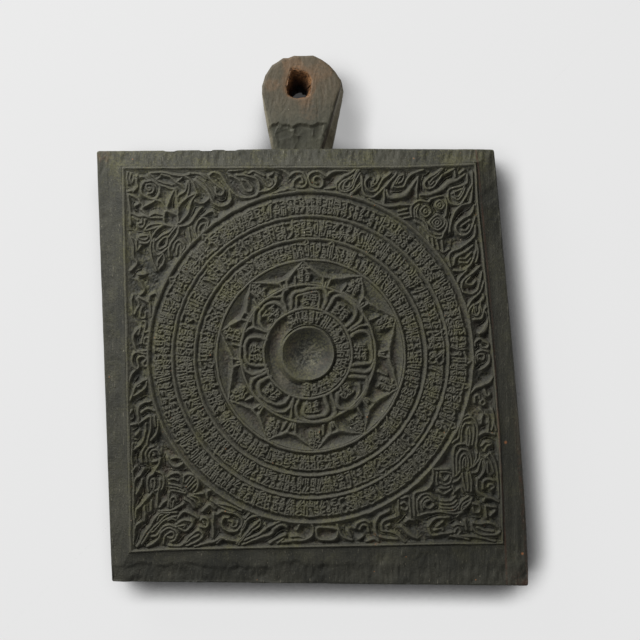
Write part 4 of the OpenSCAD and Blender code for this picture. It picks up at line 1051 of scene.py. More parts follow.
def hub_height(x, y):
    """The hub's band: marks on most of its round, and a plain hollow on the rest."""
    turn = np.degrees(np.arctan2(y - LOTUS_C[1], x - LOTUS_C[0])) % 360
    from_middle = np.abs(turn - BARE_TURN) / BARE_HALF
    bare = np.clip(1 - from_middle, 0, 1) ** 0.3 * (from_middle < 1)
    hub = inside(LOTUS_C, HUB_R - 0.6, x, y)
    marked = carve(x, y, BAND_DEPTH, outside(LOTUS_C, CUP_RIM_R - 0.1, x, y), hub)
    t = radius_about(LOTUS_C, x, y)
    hollow = FACE_Z - np.interp(t, [12.2, 12.9, 14.1, 16.6, 18.5], [0.35, 0.9, 2.2, 2.1, 0.4])
    hollow = hollow + 0.06 * wander(x, y, 2.2, 35)
    return marked * (1 - bare) + np.minimum(hollow, FACE_Z) * bare


def star_height(x, y):
    """The star's points between its ring and the lotus's."""
    rim = inside(STAR_C, STAR_R - 0.75, x, y, 0.3)
    foot = outside(LOTUS_C, LOTUS_R + 0.7, x, y, 0.8)
    return carve(x, y, STAR_DEPTH, rim, foot)


def lotus_height(x, y):
    """The lotus's petals between its ring and the hub's."""
    rim = inside(LOTUS_C, LOTUS_R - 0.7, x, y)
    foot = outside(LOTUS_C, HUB_R + 0.7, x, y, 0.8)
    return carve(x, y, LOTUS_DEPTH, rim, foot)


def make_cup(depth):
    """The cup: a turned hollow inside a raised rim, scratched by use."""
    around, across = FACES["cup"]
    turn = np.linspace(0, 360, around + 1)
    bowl_rows = 42
    radii = np.linspace(0, CUP_R - 0.8, bowl_rows)
    radii = np.concatenate([radii, np.linspace(CUP_R - 0.6, CUP_RIM_R, across - bowl_rows)])
    points = polar(LOTUS_C, radii[:, None], turn)
    x, y = points[..., 0], points[..., 1]
    r = radius_about(LOTUS_C, x, y)
    rim_z = FACE_Z - 0.25
    ball = (CUP_R ** 2 + depth ** 2) / (2 * depth)
    bowl = rim_z - depth + ball - np.sqrt(np.maximum(ball ** 2 - r ** 2, 0))
    turned = np.arctan2(y - LOTUS_C[1], x - LOTUS_C[0]) - math.radians(BARE_TURN)
    bare = np.clip(np.cos(turned) * 2.2 - 0.6, 0, 1)
    narrow = np.interp(r, [10.6, 10.8, 11.15, 11.5, 12.2], [0.12, 0.0, 0.02, 0.6, 1.4])
    wide = np.interp(r, [10.6, 10.8, 11.9, 12.2], [0.12, 0.0, 0.1, 0.25])
    lip = rim_z - narrow * (1 - bare) - wide * bare
    z = np.where(r < CUP_R, np.minimum(bowl, lip), lip)
    bottom = np.clip(1 - r / 9.5, 0, 1)
    scratches = gouges(x, y, (-8, -21, 4, -8), 42, 2.4, 0.9, 0.42, 30, 61, 70)
    uneven = 0.14 * wander(x, y, 3.4, 62) + 0.03 * wander(x, y, 1.1, 63)
    z = z - scratches * np.sqrt(bottom) + uneven * (r < CUP_R)
    z = np.clip(z, SEAT_Z - 1.5, FACE_Z - 0.2)
    foot_z = min(SEAT_Z, float(z.min()) - 0.6)
    x = np.vstack([x, x[-1:], x[:1]])
    y = np.vstack([y, y[-1:], y[:1]])
    z = np.vstack([z, np.full((2, around + 1), foot_z)])
    return shaped_grid("carved_cup", x, y, z)


# Border and ornament

def side_counts(quad, per_mm):
    """How many points stand on each side of a quad."""
    return [int(np.linalg.norm(b - a) * per_mm) for a, b in zip(quad, np.roll(quad, -1, axis=0))]


def quad_loop(quad, counts):
    """A closed row of points round the quad, with fixed counts on its sides."""
    out = []
    for a, b, n in zip(quad, np.roll(quad, -1, axis=0), counts):
        share = np.linspace(0, 1, n, endpoint=False)[:, None]
        out.append(a + (b - a) * share)
    return np.vstack(out + [quad[:1]])


def bent(x, y, share=1.0):
    """Moves places near the border with its bends, by a share from 0 to 1."""
    across = np.interp(y, *RIGHT_BEND) * np.clip((x - 35) / 30, 0, 1)
    along = np.interp(x, *TOP_BEND) * np.clip((y - 35) / 25, 0, 1)
    along = along + np.interp(x, *FOOT_BEND) * np.clip((-65 - y) / 25, 0, 1)
    return x + across * share, y + along * share


def border_gap(x, y):
    """How deep the ground beside the border may lie, as a gap from its line."""
    apart = side_distances(BORDER, x, y)
    return (BORDER_FALL.reshape((4,) + (1,) * np.ndim(x)) * (apart - 0.4)).min(axis=0)


def make_border():
    """The ruled border: a raised line, a little unsteady and worn in places."""
    counts = side_counts(BORDER, 1.9)
    shares = np.linspace(-1, 1, 13)
    rows = np.array([quad_loop(inset(BORDER, -BORDER_HALF * s), counts) for s in shares])
    x, y = rows[..., 0], rows[..., 1]
    wave = 0.16 * wander(x, y, 4.5, 71)
    t = shares[:, None] * BORDER_HALF + wave
    fall_in = cut_depth(border_gap(x, y) + wave, 2.0)
    level = np.isin(side_distances(BORDER, x, y).argmin(axis=0), LEVEL_SIDES)
    fall_out = np.clip(cut_depth(t - 0.25, 1.2), 0, FACE_Z - MARGIN_Z + 0.15)
    fall_out = np.where(level, np.clip((t + 0.2) / 0.8, 0, 1) * 0.5, fall_out)
    z = FACE_Z - 0.05 - np.maximum(fall_in, fall_out) - 0.2 * np.clip(wander(x, y, 9, 72), 0, 1)
    z = z - 0.08 * np.clip(wander(x, y, 1.2, 73), 0, 1)
    return shaped_grid("carved_border_line", *seated(*bent(x, y), np.clip(z, GROUND_FLOOR, FACE_Z)))


def make_zone(name, a0, a1, around, across):
    """One zone of the ornament, from the outer ring to the border."""
    turn = np.linspace(a0, a1, around + 1)
    near = polar(RING_C, RINGS["outer"] + RING_HALF, turn)
    ray = np.stack([np.cos(np.radians(turn)), np.sin(np.radians(turn))], axis=-1)
    edge = inset(BORDER, BORDER_HALF)
    reach = np.full(len(turn), 1e9)
    for a, b in zip(edge, np.roll(edge, -1, axis=0)):
        run = b - a
        normal = np.array((-run[1], run[0]))
        closing = ray @ normal
        distance = ((a - near) @ normal) / np.where(np.abs(closing) < 1e-9, 1e-9, closing)
        reach = np.where(distance > 0, np.minimum(reach, distance), reach)
    share = np.linspace(0, 1, across + 1)[:, None, None]
    points = near + ray * reach[:, None] * share
    ruled = border_gap(points[..., 0], points[..., 1])
    x, y = bent(points[..., 0], points[..., 1], share[..., 0])
    ring = outside(RING_C, RINGS["outer"] + CRESTS["outer"] + 0.15, x, y, 0.65)
    z = carve(x, y, ORNAMENT_DEPTH, ruled, ring, echo=0.6)
    low = points.reshape(-1, 2).min(axis=0)
    high = points.reshape(-1, 2).max(axis=0)
    cuts = gouges(x, y, (*low, *high), int(around * 0.6), 2.6, 0.9, 0.55, 40, 400 + around, 70)
    z = np.maximum(z - cuts * np.clip((FACE_Z - 0.9 - z) / 1.2, 0, 1), SEAT_Z + 0.12)
    return shaped_grid("carved_" + name, *seated(x, y, z))


# Body

def rounded_loop(quad, radius, counts, bend=6):
    """A closed row round the quad with rounded corners, matching quad_loop in its count."""
    out = []
    centres = inset(quad, radius)
    for k, n in enumerate(counts):
        a, b = quad[k], quad[(k + 1) % 4]
        run = (b - a) / np.linalg.norm(b - a)
        outward = np.array((run[1], -run[0]))
        start = centres[k] + outward * radius
        end = centres[(k + 1) % 4] + outward * radius
        before = quad[k] - quad[k - 1]
        before = before / np.linalg.norm(before)
        old = np.array((before[1], -before[0]))
        for j in range(bend):
            mix = old * (bend - j) + outward * j
            out.append(centres[k] + radius * mix / np.linalg.norm(mix))
        share = np.linspace(0, 1, n - bend, endpoint=False)[:, None]
        out.extend(start + (end - start) * share)
    return np.vstack(out + [out[0]])


def margin_marks(x, y):
    """Tool marks on the four margins: low facets, upright scratches at the head and foot, and
    lengthwise cuts on the right."""
    foot = gouges(x, y, (-88, -113, 94, -97), 80, 8, 3.6, 0.28, 8, 81, 24)
    foot = foot + gouges(x, y, (-88, -113, 94, -105), 240, 3.2, 0.8, 0.42, 86, 80, 14)
    foot = foot + gouges(x, y, (25, -109, 94, -97), 150, 4.4, 0.8, 0.46, 88, 79, 10)
    ragged = 1.3 * wander(x, y * 0, 9, 78) + 0.6 * wander(x, y * 0, 2.4, 77)
    ledge = np.clip((LEDGE_Y + ragged - y) / 0.7, 0, 1) * np.clip((30 - x) / 25, 0, 1)
    foot = foot + 0.48 * ledge * (1 + 0.9 * wander(x, y, 4, 76))
    head = gouges(x, y, (-94, 64, 80, 75), 280, 4.0, 1.1, 0.5, 88, 82, 14)
    left = gouges(x, y, (-94, -112, -76, 74), 80, 12, 4.2, 0.34, 92, 83, 8)
    left = left + gouges(x, y, (-94, -112, -76, 74), 240, 2.6, 0.8, 0.16, 90, 87, 40)
    right = gouges(x, y, (72, -112, 93, 74), 60, 24, 2.4, 0.5, 94, 84, 3)
    right = right + gouges(x, y, (72, 25, 83, 68), 18, 5, 2.6, 0.5, 80, 75, 30)
    return foot + head + left + right


def swollen(loop, share):
    """Moves a row of the board's points with the swell of its right side and the fall of its top
    right corner, by their share of the way from the border to the edge."""
    rise = np.clip((loop[:, 1] - BOARD[1][1]) / (BOARD[2][1] - BOARD[1][1]), 0, 1)
    push = RIGHT_SWELL * np.sin(math.pi * rise ** 0.62) * share * np.clip((loop[:, 0] - 60) / 12, 0, 1)
    lift = 0.6 * np.exp(-((loop[:, 0] + 2) / 45) ** 2) * share * np.clip((loop[:, 1] - 60) / 12, 0, 1)
    moved = loop + np.stack([push, lift], axis=-1)
    moved[:, 0] = np.minimum(moved[:, 0], RIGHT_END)
    return moved


def chipped_outline(counts):
    """The board's outline, with small chips out of its top edge, left of the handle."""
    outline = rounded_loop(BOARD, BOARD_ROUND, counts)
    x, y = outline.T
    span = np.clip((x + 74) / 6, 0, 1) * np.clip((-26 - x) / 6, 0, 1) * (y > 60)
    chips = span * np.clip(wander(x, y * 0, 2.6, 91) * 1.8, 0, 1)
    return outline - np.stack([chips * 0, chips * 0.4], axis=-1)


def right_margin(loop):
    """1 on the right margin, easing to 0 at its foot and at its inner side."""
    return np.clip((loop[:, 0] - 68) / 8, 0, 1) * np.clip((loop[:, 1] + 106) / 14, 0, 1)


def add_margins(skin, inner, face_edge):
    """The sloping margins, from the border to the edge of the face."""
    for share in np.linspace(0, 1, 22):
        loop = inner + (face_edge - inner) * share
        x, y = loop.T
        base = MARGIN_Z + (MARGIN_EDGE_Z - MARGIN_Z) * share ** 0.9 - RIGHT_DROP * right_margin(loop) * share
        cut = margin_marks(x, y) * min(1, 0.15 + share * 4)
        swell = 0.14 * wander(x, y, 14, 85) + 0.07 * wander(x, y, 2.5, 86)
        level = np.clip((60 - x + y) / 30, 0, 1) * np.clip((y + 92) / 10, 0, 1)
        base = base + LEVEL_RISE * level * max(0, 1 - share * 2.5)
        skin.add(swollen(loop, share), base - cut + swell * min(1, share * 5))


def add_arris(skin, face_edge, outline):
    """The worn edge between the face and the sides."""
    drop = RIGHT_DROP * right_margin(outline)
    nick = 0.35 * np.clip(wander(outline[:, 0], outline[:, 1], 6, 87), 0, 1)
    for share in (0.35, 0.7, 1.0):
        loop = face_edge + (outline - face_edge) * share ** 0.8
        cut = margin_marks(loop[:, 0], loop[:, 1]) * 0.6
        skin.add(swollen(loop, 1), MARGIN_EDGE_Z - ARRIS * 1.1 * share ** 1.6 - nick - cut - drop)


def add_sides(skin, outline, centre):
    """The four sides, left a little uneven by the saw."""
    run = np.cumsum(np.r_[0, np.linalg.norm(np.diff(outline, axis=0), axis=1)])
    inward = centre - outline
    inward = inward / np.linalg.norm(inward, axis=1)[:, None]
    for z in np.linspace(24.6, 0.9, 11):
        scallop = 0.2 + 0.16 * wander(run, run * 0 + z, 7, 88) + 0.08 * wander(run, run * 0 + z * 3, 2, 89)
        skin.add(swollen(outline + inward * np.maximum(scallop, 0.05)[:, None], 1), z)


def make_body():
    """The plank: a recess for the carved field, sloping margins, worn arrises, hand-sawn sides
    and a flat back."""
    quad = inset(BORDER, -BORDER_HALF)
    centre = quad.mean(axis=0)
    counts = side_counts(BOARD, 1.75)
    inner = quad_loop(quad, counts)
    inner = np.stack(bent(inner[:, 0], inner[:, 1]), axis=-1)
    face_edge = rounded_loop(inset(BOARD, ARRIS), BOARD_ROUND * 0.7, counts)
    outline = chipped_outline(counts)
    skin = Skin()
    for share, below in ((0, 1.9), (0.25, 1.9), (0.32, 0.02), (1, 0.02)):
        skin.add(centre + (inner - centre) * share, SEAT_Z - below)
    add_margins(skin, inner, face_edge)
    add_arris(skin, face_edge, outline)
    add_sides(skin, outline, centre)
    for by, z in ((0.3, 0.35), (0.9, 0.0)):
        skin.add(swollen(rounded_loop(inset(BOARD, by), BOARD_ROUND, counts), 1), z)
    for share in np.linspace(0.04, 0.96, 12):
        loop = swollen(outline, 1) * (1 - share) + centre * share
        skin.add(loop, 0.06 + 0.06 * wander(loop[:, 0], loop[:, 1], 24, 90))
    skin.add(np.repeat(centre[None], len(inner), axis=0), 0.06)
    return skin.mesh("board_body")


# Handle

def ray_reach(polygon, origin, turn):
    """Distance from the origin to the polygon's edge in each direction."""
    ray = np.stack([np.cos(turn), np.sin(turn)], axis=-1)
    reach = np.full(len(turn), 1e9)
    for a, b in zip(polygon, np.roll(polygon, -1, axis=0)):
        run = b - a
        cross = ray[:, 0] * run[1] - ray[:, 1] * run[0]
        cross = np.where(np.abs(cross) < 1e-9, 1e-9, cross)
        t = ((a[0] - origin[0]) * run[1] - (a[1] - origin[1]) * run[0]) / cross
        s = ((a[0] - origin[0]) * ray[:, 1] - (a[1] - origin[1]) * ray[:, 0]) / cross
        hit = (t > 0) & (s >= -1e-6) & (s <= 1 + 1e-6)
        reach = np.where(hit, np.minimum(reach, t), reach)
    return reach


def edge_distance(polygon, x, y):
    """Distance to the polygon's nearest edge, its foot on the board left out."""
    nearest = np.full(x.shape, 1e9)
    for a, b in zip(polygon[:-1], polygon[1:]):
        run = b - a
        t = np.clip(((x - a[0]) * run[0] + (y - a[1]) * run[1]) / (run @ run), 0, 1)
        nearest = np.minimum(nearest, np.hypot(x - a[0] - t * run[0], y - a[1] - t * run[1]))
    return nearest


def hole_radius(turn, z):
    """Half-width of the cord hole in each direction: round at its waist, worn ragged and upwards
    at its face, and a little wider again at its back."""
    mouth = ray_reach(MOUTH, (0, 0), turn)
    waist = 3.35 - (0.9 + 0.7 * wander(5 * turn, z * 0.3, 2, 84)) * np.clip(np.sin(turn) * 1.6, 0, 1)
    up = np.clip((z - 18.5) / 9.3, 0, 1) ** 0.75
    down = np.clip((5.0 - z) / 5.0, 0, 1)
    ragged = wander(5 * np.cos(turn) + z * 0.4, 5 * np.sin(turn), 1.3, 99)
    rough = 0.35 * ragged * np.clip((z - 17) / 4, 0, 1)
    return waist + (mouth - waist) * up + (HOLE_BACK_R - waist) * down + rough


def handle_face(x, y):
    """Height of the handle's face: worn flat at the head and cut back across the neck."""
    ragged = 0.8 * wander(x, y * 0, 2.9, 91) + 0.5 * wander(x, y * 0, 1.2, 90)
    below = np.clip((84.6 - y + ragged) / 10.8, 0, 1)
    steps = 2.4 * (0.1 * np.clip(below * 12, 0, 1) + 0.45 * below + 0.45 * below ** 0.8)
    chisel = gouges(x, y, (-19, 72, 9, 85), 60, 3.4, 1.9, 0.6, 80, 92, 34, 5)
    facets = chisel * np.clip(below * 9, 0, 1)
    dents = gouges(x, y, (-22, 84, 14, 114), 80, 3.6, 0.9, 0.12, 88, 93, 14)
    arris = np.clip(1 - edge_distance(HANDLE_FACE, x, y) / 1.3, 0, 1) ** 2
    arris = arris * (0.6 + 0.35 * wander(x, y, 3, 94))
    lip = np.clip(1 - edge_distance(HOLE_C + MOUTH, x, y) / 0.9, 0, 1) ** 2 * 0.3
    swell = 0.07 * wander(x, y, 8, 95) + 0.04 * wander(x, y, 1.6, 89)
    return HANDLE_Z - 0.2 - steps - facets - dents - arris - lip + swell


def make_handle():
    """The handle: a waisted head round the cord hole, shaped by straight knife cuts. Its skin runs
    up the hole, out over the face, down the sides and back in under the handle."""
    turn = np.linspace(0, 2 * math.pi, 621) + 0.3
    ray = np.stack([np.cos(turn), np.sin(turn)], axis=-1)
    skin = Skin()

    def around_hole(radius):
        return HOLE_C + ray * radius[:, None]

    face = ray_reach(HANDLE_FACE, HOLE_C, turn)
    back = np.maximum(ray_reach(HANDLE_BACK, HOLE_C, turn), face)
    x_side, y_side = around_hole(back).T
    on_board = y_side < ROOT[1]
    wobble = np.where(on_board, 0, 0.1 * wander(x_side, y_side, 3, 96) - 0.1)
    face = face + wobble
    back = back + wobble
    for z in np.linspace(0.0, 27.0, 26):
        skin.add(around_hole(hole_radius(turn, z)), z)
    mouth = hole_radius(turn, 27.8)
    for share in np.linspace(0, 1, 70):
        loop = around_hole(mouth + (face - mouth) * share)
        skin.add(loop, handle_face(*loop.T))
    top = skin.heights[-1]
    apart = (back - face) * np.abs(ray[:, 0])
    knee = np.clip(top - apart / NECK_LEAN - 0.4, 1.2, None)
    right = ray[:, 0] > 0
    for out, down in ((0.12, 0.25), (0.25, 0.5), (0.38, 0.72), (0.6, 0.82), (0.8, 0.9), (1.0, 1.0)):
        radius = face + (back - face) * np.where(right, out, out ** 0.8)
        skin.add(around_hole(radius), top + (knee - top) * np.where(right, down, out))
    x_side, y_side = around_hole(back).T
    for share in np.linspace(0.1, 1, 10):
        z = knee + (0.7 - knee) * share
        chip = 0.14 * wander(x_side + z * 0.3, y_side - z * 0.3, 2.2, 97) - 0.14
        skin.add(around_hole(back + np.where(on_board, 0, chip)), z)
    skin.add(around_hole(np.where(on_board, back, back - 0.7)), 0.0)
    back_mouth = hole_radius(turn, 0.0)
    for share in np.linspace(0.06, 1, 22):
        loop = around_hole(back - 0.7 + (back_mouth - back + 0.7) * share)
        hollow = 0.05 + 0.05 * wander(*loop.T, 7, 98)
        skin.add(loop, hollow * min(1, (1 - share) * 12))
    return skin.mesh("carved_handle", 40)


# Materials

class Value:
    """A number that varies over the surface. Expressions on it add Math nodes."""

    def __init__(self, shade, socket):
        self.shade = shade
        self.socket = socket

    def math(self, operation, first, second):
        return self.shade.make("ShaderNodeMath", {"operation": operation}, {0: first, 1: second})

    def __add__(self, other):
        return self.math("ADD", self, other)

    def __radd__(self, other):
        return self.math("ADD", other, self)

    def __sub__(self, other):
        return self.math("SUBTRACT", self, other)

    def __rsub__(self, other):
        return self.math("SUBTRACT", other, self)

    def __mul__(self, other):
        return self.math("MULTIPLY", self, other)

    def __rmul__(self, other):
        return self.math("MULTIPLY", other, self)

    def __pow__(self, other):
        return self.math("POWER", self, other)

    def larger(self, other):
        return self.math("MAXIMUM", self, other)

    def ramp(self, low, high):
        """0 below low, 1 above high and smooth between."""
        return self.shade.make("ShaderNodeMapRange", {"interpolation_type": "SMOOTHSTEP"},
                               {"Value": self, "From Min": low, "From Max": high})


class Shade:
    """A material under construction."""

    def __init__(self, name):
        self.material = bpy.data.materials.new(name)
        self.material.use_nodes = True
        self.tree = self.material.node_tree
        self.tree.nodes.clear()
        self.place = self.make("ShaderNodeTexCoord", {}, {}, "Object")
        parts = self.node("ShaderNodeSeparateXYZ", {}, {"Vector": self.place})
        self.x, self.y, self.z = (Value(self, out) * 1000 for out in parts.outputs)

    def plug(self, socket, value):
        if isinstance(value, Value):
            self.tree.links.new(value.socket, socket)
        elif socket.type == "RGBA":
            socket.default_value = (*value, 1)
        else:
            socket.default_value = value

    def node(self, kind, settings, sockets):
        node = self.tree.nodes.new(kind)
        for key, value in settings.items():
            setattr(node, key, value)
        for key, value in sockets.items():
            self.plug(node.inputs[key], value)
        return node

    def make(self, kind, settings, sockets, output=0):
        return Value(self, self.node(kind, settings, sockets).outputs[output])

    def stretched(self, sx, sy, sz):
        """The object's own places, scaled on each axis."""
        return self.make("ShaderNodeVectorMath", {"operation": "MULTIPLY"}, {0: self.place, 1: (sx, sy, sz)})

    def noise(self, sx, sy, sz, detail, roughness):
        """Cloudy unevenness with so many swells to a metre on each axis."""
        return self.make("ShaderNodeTexNoise", {}, {"Vector": self.stretched(sx, sy, sz), "Scale": 1.0,
                                                    "Detail": detail, "Roughness": roughness})

    def mix(self, factor, first, second):
        return self.make("ShaderNodeMix", {"data_type": "RGBA"}, {0: factor, 6: first, 7: second}, 2)

    def scaled(self, colour, factor):
        """A colour made lighter or darker by a factor."""
        return self.make("ShaderNodeVectorMath", {"operation": "SCALE"}, {0: colour, "Scale": factor})

    def near(self, x, y, radius):
        """1 close to a place of the face, falling to 0 at the radius, in millimetres."""
        apart = ((self.x - x) ** 2 + (self.y - y) ** 2) ** 0.5
        return 1 - apart.ramp(radius * 0.35, radius)

    def distance_right_of(self, foot, head):
        """Signed distance, in millimetres, to the right of a line from its foot to its head."""
        slope = (head[0] - foot[0]) / (head[1] - foot[1])
        return self.x - foot[0] - (self.y - foot[1]) * slope

    def show(self, shader):
        """Makes a shader node the material's surface."""
        output = self.node("ShaderNodeOutputMaterial", {}, {})
        self.tree.links.new(shader.outputs[0], output.inputs[0])
        return self.material

    def finish(self, colour, roughness, height, strength, distance):
        """A plain surface with a fine bump, its depth in millimetres."""
        bump = self.make("ShaderNodeBump", {},
                         {"Strength": strength, "Distance": distance * MM, "Height": height})
        look = {"Base Color": colour, "Roughness": roughness, "Normal": bump, "IOR": 1.42}
        return self.show(self.node("ShaderNodeBsdfPrincipled", {}, look))


def grain_of(shade):
    """Fine and broad streaks along the plank."""
    return shade.noise(1500, 46, 900, 4.0, 0.62) * 0.65 + shade.noise(260, 9, 160, 3.0, 0.5) * 0.35


def specks_of(shade):
    """Rare pale or orange grains caught in the carving."""
    cells = shade.node("ShaderNodeTexVoronoi", {}, {"Vector": shade.stretched(300, 300, 300), "Scale": 1.0})
    spot = 1 - Value(shade, cells.outputs["Distance"]).ramp(0.05, 0.11)
    parts = shade.node("ShaderNodeSeparateColor", {}, {0: Value(shade, cells.outputs["Color"])})
    rare = Value(shade, parts.outputs[0]).ramp(0.86, 0.87)
    return spot * rare, Value(shade, parts.outputs[1])


def cup_and_hub_dust_and_painted_light(shade, colours, wood, colour):
    """Pale dust in the cup, a painted highlight on the lower right of its bowl, painted shade on the ground
    beside the hub's ring and over the field's bottom-right corner, and brown dirt in the hub's hollow.
    """
    x, y = LOTUS_C
    below = 1 - shade.z.ramp(28.4, 29.6)
    dusty = shade.near(x - 1.0, y - 1.5, 9.0) * (1 - shade.z.ramp(27.4, 28.6))
    dusty = dusty * (wood.patch * 0.6 + wood.dust * 0.8).ramp(0.62, 0.8)
    colour = shade.mix(dusty * 0.6, colour, colours.cup_dust)
    # Painted highlight: the lower right of the cup's bowl, which faces the lamp, is made paler.
    painted_dish_light = shade.near(x + 5, y - 5, 7) * (1 - shade.z.ramp(28.4, 29.2))
    # Painted shade: the bare ground beside the hub's ring, left of the cup, is made darker.
    painted_moat_shade = shade.near(x - 16, y + 3, 7) * below
    # The last term is painted shade that darkens the field's bottom-right corner, farthest from the lamp.
    colour = shade.scaled(colour, 1 + painted_dish_light * 0.42 - painted_moat_shade * 0.25 - shade.near(72, -82, 34) * 0.16)
    hollow = shade.near(x - 11.5, y - 11, 7) * below
    hollow = hollow * (wood.blotch * 0.6 + wood.dust * 0.5).ramp(0.35, 0.7)
    return shade.mix(hollow * 0.6, colour, colours.cup_dust)


def field_tones(shade, colours, wood, colour, olive):
    """Dusty patches on the carved field and brown dirt in its grounds."""
    colour = shade.mix(olive * 0.75, colour, colours.olive)
    earth = (1 - shade.z.ramp(27.6, 29.3)) * (wood.blotch * 0.7 + wood.dust * 0.5).ramp(0.48, 0.85)
    colour = shade.mix(earth * 0.6, colour, colours.earth)
    return cup_and_hub_dust_and_painted_light(shade, colours, wood, colour)


def margin_tones(shade, colours, colour, olive):
    """Margins that are dustier at the head and darker below the ledge at the foot."""
    head = shade.y.ramp(50, 70)
    olive = olive * (0.3 * shade.y.ramp(-106, -99) + head * 0.5) + head * 0.1
    colour = shade.mix(olive, colour, colours.olive)
    below_ledge = (1 - shade.y.ramp(-107, -101)) * (1 - shade.x.ramp(0, 30))
    return shade.scaled(colour, 0.98 - below_ledge * 0.12)


def bare_red_wood(shade, wood):
    """Where wear has bared the red wood: along the border's right side, on the right edge and at
    two corners."""
    line = shade.distance_right_of((81.2, -95), (75.7, 0))
    line = line.larger(shade.distance_right_of((75.7, 0), (69.4, 68)))
    red_line = line.ramp(0.4, 0.8) * (1 - line.ramp(1.1, 1.7))
    red_line = red_line * (wood.dust * 0.6 + wood.patch * 0.6).ramp(0.4, 0.7)
    edge = shade.distance_right_of(BOARD[1], BOARD[2]).ramp(-1.2, 0.2) * (1 - shade.y.ramp(-70, -20))
    corners = shade.near(-91, 71, 6).larger(shade.near(91, -112, 9))
    bare = corners * (wood.dust * 0.8 + wood.patch * 0.9).ramp(0.75, 1.2)
    bare = bare.larger(edge * wood.dust.ramp(0.35, 0.6)).larger(red_line * 0.8)
    return bare.larger(shade.near(92, -112.5, 4)) * shade.z.ramp(25, 28)


def with_grains(shade, colours, wood, colour):
    """Pale and orange grains caught in the carving, and the larger orange ones in their places."""
    spot, tone = specks_of(shade)
    colour = shade.mix(spot * 0.75, colour, shade.mix(tone.ramp(0.6, 0.7), colours.dust, colours.orange_dust))
    grit = shade.near(82.4, -51.5, 0.9).larger(shade.near(89.8, -99.2, 0.8))
    grit = grit.larger(shade.near(27, -92.5, 3.2) * (wood.patch * 0.6 + wood.dust * 0.6).ramp(0.6, 0.75))
    return shade.mix(grit * 0.8, colour, colours.orange_dust)


def stained_wood(colours, name, relief):
    """Close-grained wood, black with old ink and rubbed paler where the tool and hand touch it."""
    shade = Shade(name)
    wood = SimpleNamespace(
        grain=grain_of(shade),
        blotch=shade.noise(55, 38, 55, 3.0, 0.55),
        patch=shade.noise(130, 110, 130, 3.0, 0.62),
        dust=shade.noise(700, 700, 700, 3.0, 0.6),
        fine=shade.noise(2300, 1900, 2300, 3.0, 0.7),
        speckle=shade.noise(1250, 1250, 1250, 2.0, 0.6),
    )
    inked = (wood.blotch * 0.6 + wood.grain * 0.5 - 0.1).ramp(0.2, 0.8)
    if relief:
        rubbed = shade.z.ramp(27.9, 30.0) * (0.3 + wood.blotch * 0.5 + wood.dust * 0.35)
    else:
        rubbed = (wood.blotch * 0.7 + wood.grain * 0.5).ramp(0.35, 0.85) * 0.6
    colour = shade.mix(rubbed, shade.mix(inked, colours.ink, colours.ink_worn), colours.rubbed)
    olive = (wood.patch * 0.7 + wood.speckle * 0.5).ramp(0.55, 0.78)
    if relief:
        colour = field_tones(shade, colours, wood, colour, olive)
    else:
        colour = margin_tones(shade, colours, colour, olive)
    colour = shade.mix(bare_red_wood(shade, wood) * 0.9, colour, colours.red_wood)
    fleck = 0.38 if relief else 0.22
    flecks = wood.fine.ramp(0.25, 0.75) * fleck + wood.speckle.ramp(0.3, 0.7) * (fleck * 0.7)
    colour = shade.scaled(colour, 0.66 + flecks)
    if not relief:
        scratch = shade.noise(2400, 210, 2400, 2.0, 0.5).ramp(0.64, 0.69) * wood.dust.ramp(0.42, 0.6)
        colour = shade.mix(scratch * 0.3, colour, colours.dust)
    colour = with_grains(shade, colours, wood, colour)
    roughness = 0.62 - rubbed * 0.1 + wood.dust * 0.16
    height = wood.fine * 0.8 + wood.speckle * 0.9 + wood.dust * 0.6 + wood.grain * (0.5 if relief else 1.6)
    return shade.finish(colour, roughness, height, 0.9, 0.24)


def handle_tones(shade, colours, wood, reach):
    """The handle's face: ink at the neck, brown at the head, rust round the hole."""
    ink = shade.mix(wood.blotch.ramp(0.3, 0.7), colours.neck_dark, colours.neck)
    streaks = (wood.grain * 0.6 + wood.blotch * 0.5).ramp(0.35, 0.75)
    brown = shade.mix(streaks, colours.handle_dark, colours.handle)
    colour = shade.mix((shade.y + wood.blotch * 16).ramp(88, 112), ink, brown)
    rust = (1 - reach.ramp(5.5, 11.5)) * 0.9 + shade.near(-9, 111, 7) + shade.near(5, 108, 8) * 0.8
    rust = rust + shade.near(-17.5, 101, 5) * 0.8 + shade.near(-1, 90, 9) * 0.6
    rust = (rust * (wood.patch * 0.7 + wood.dust * 0.6)).ramp(0.25, 0.8)
    return shade.mix(rust * 0.75, colour, colours.rust)


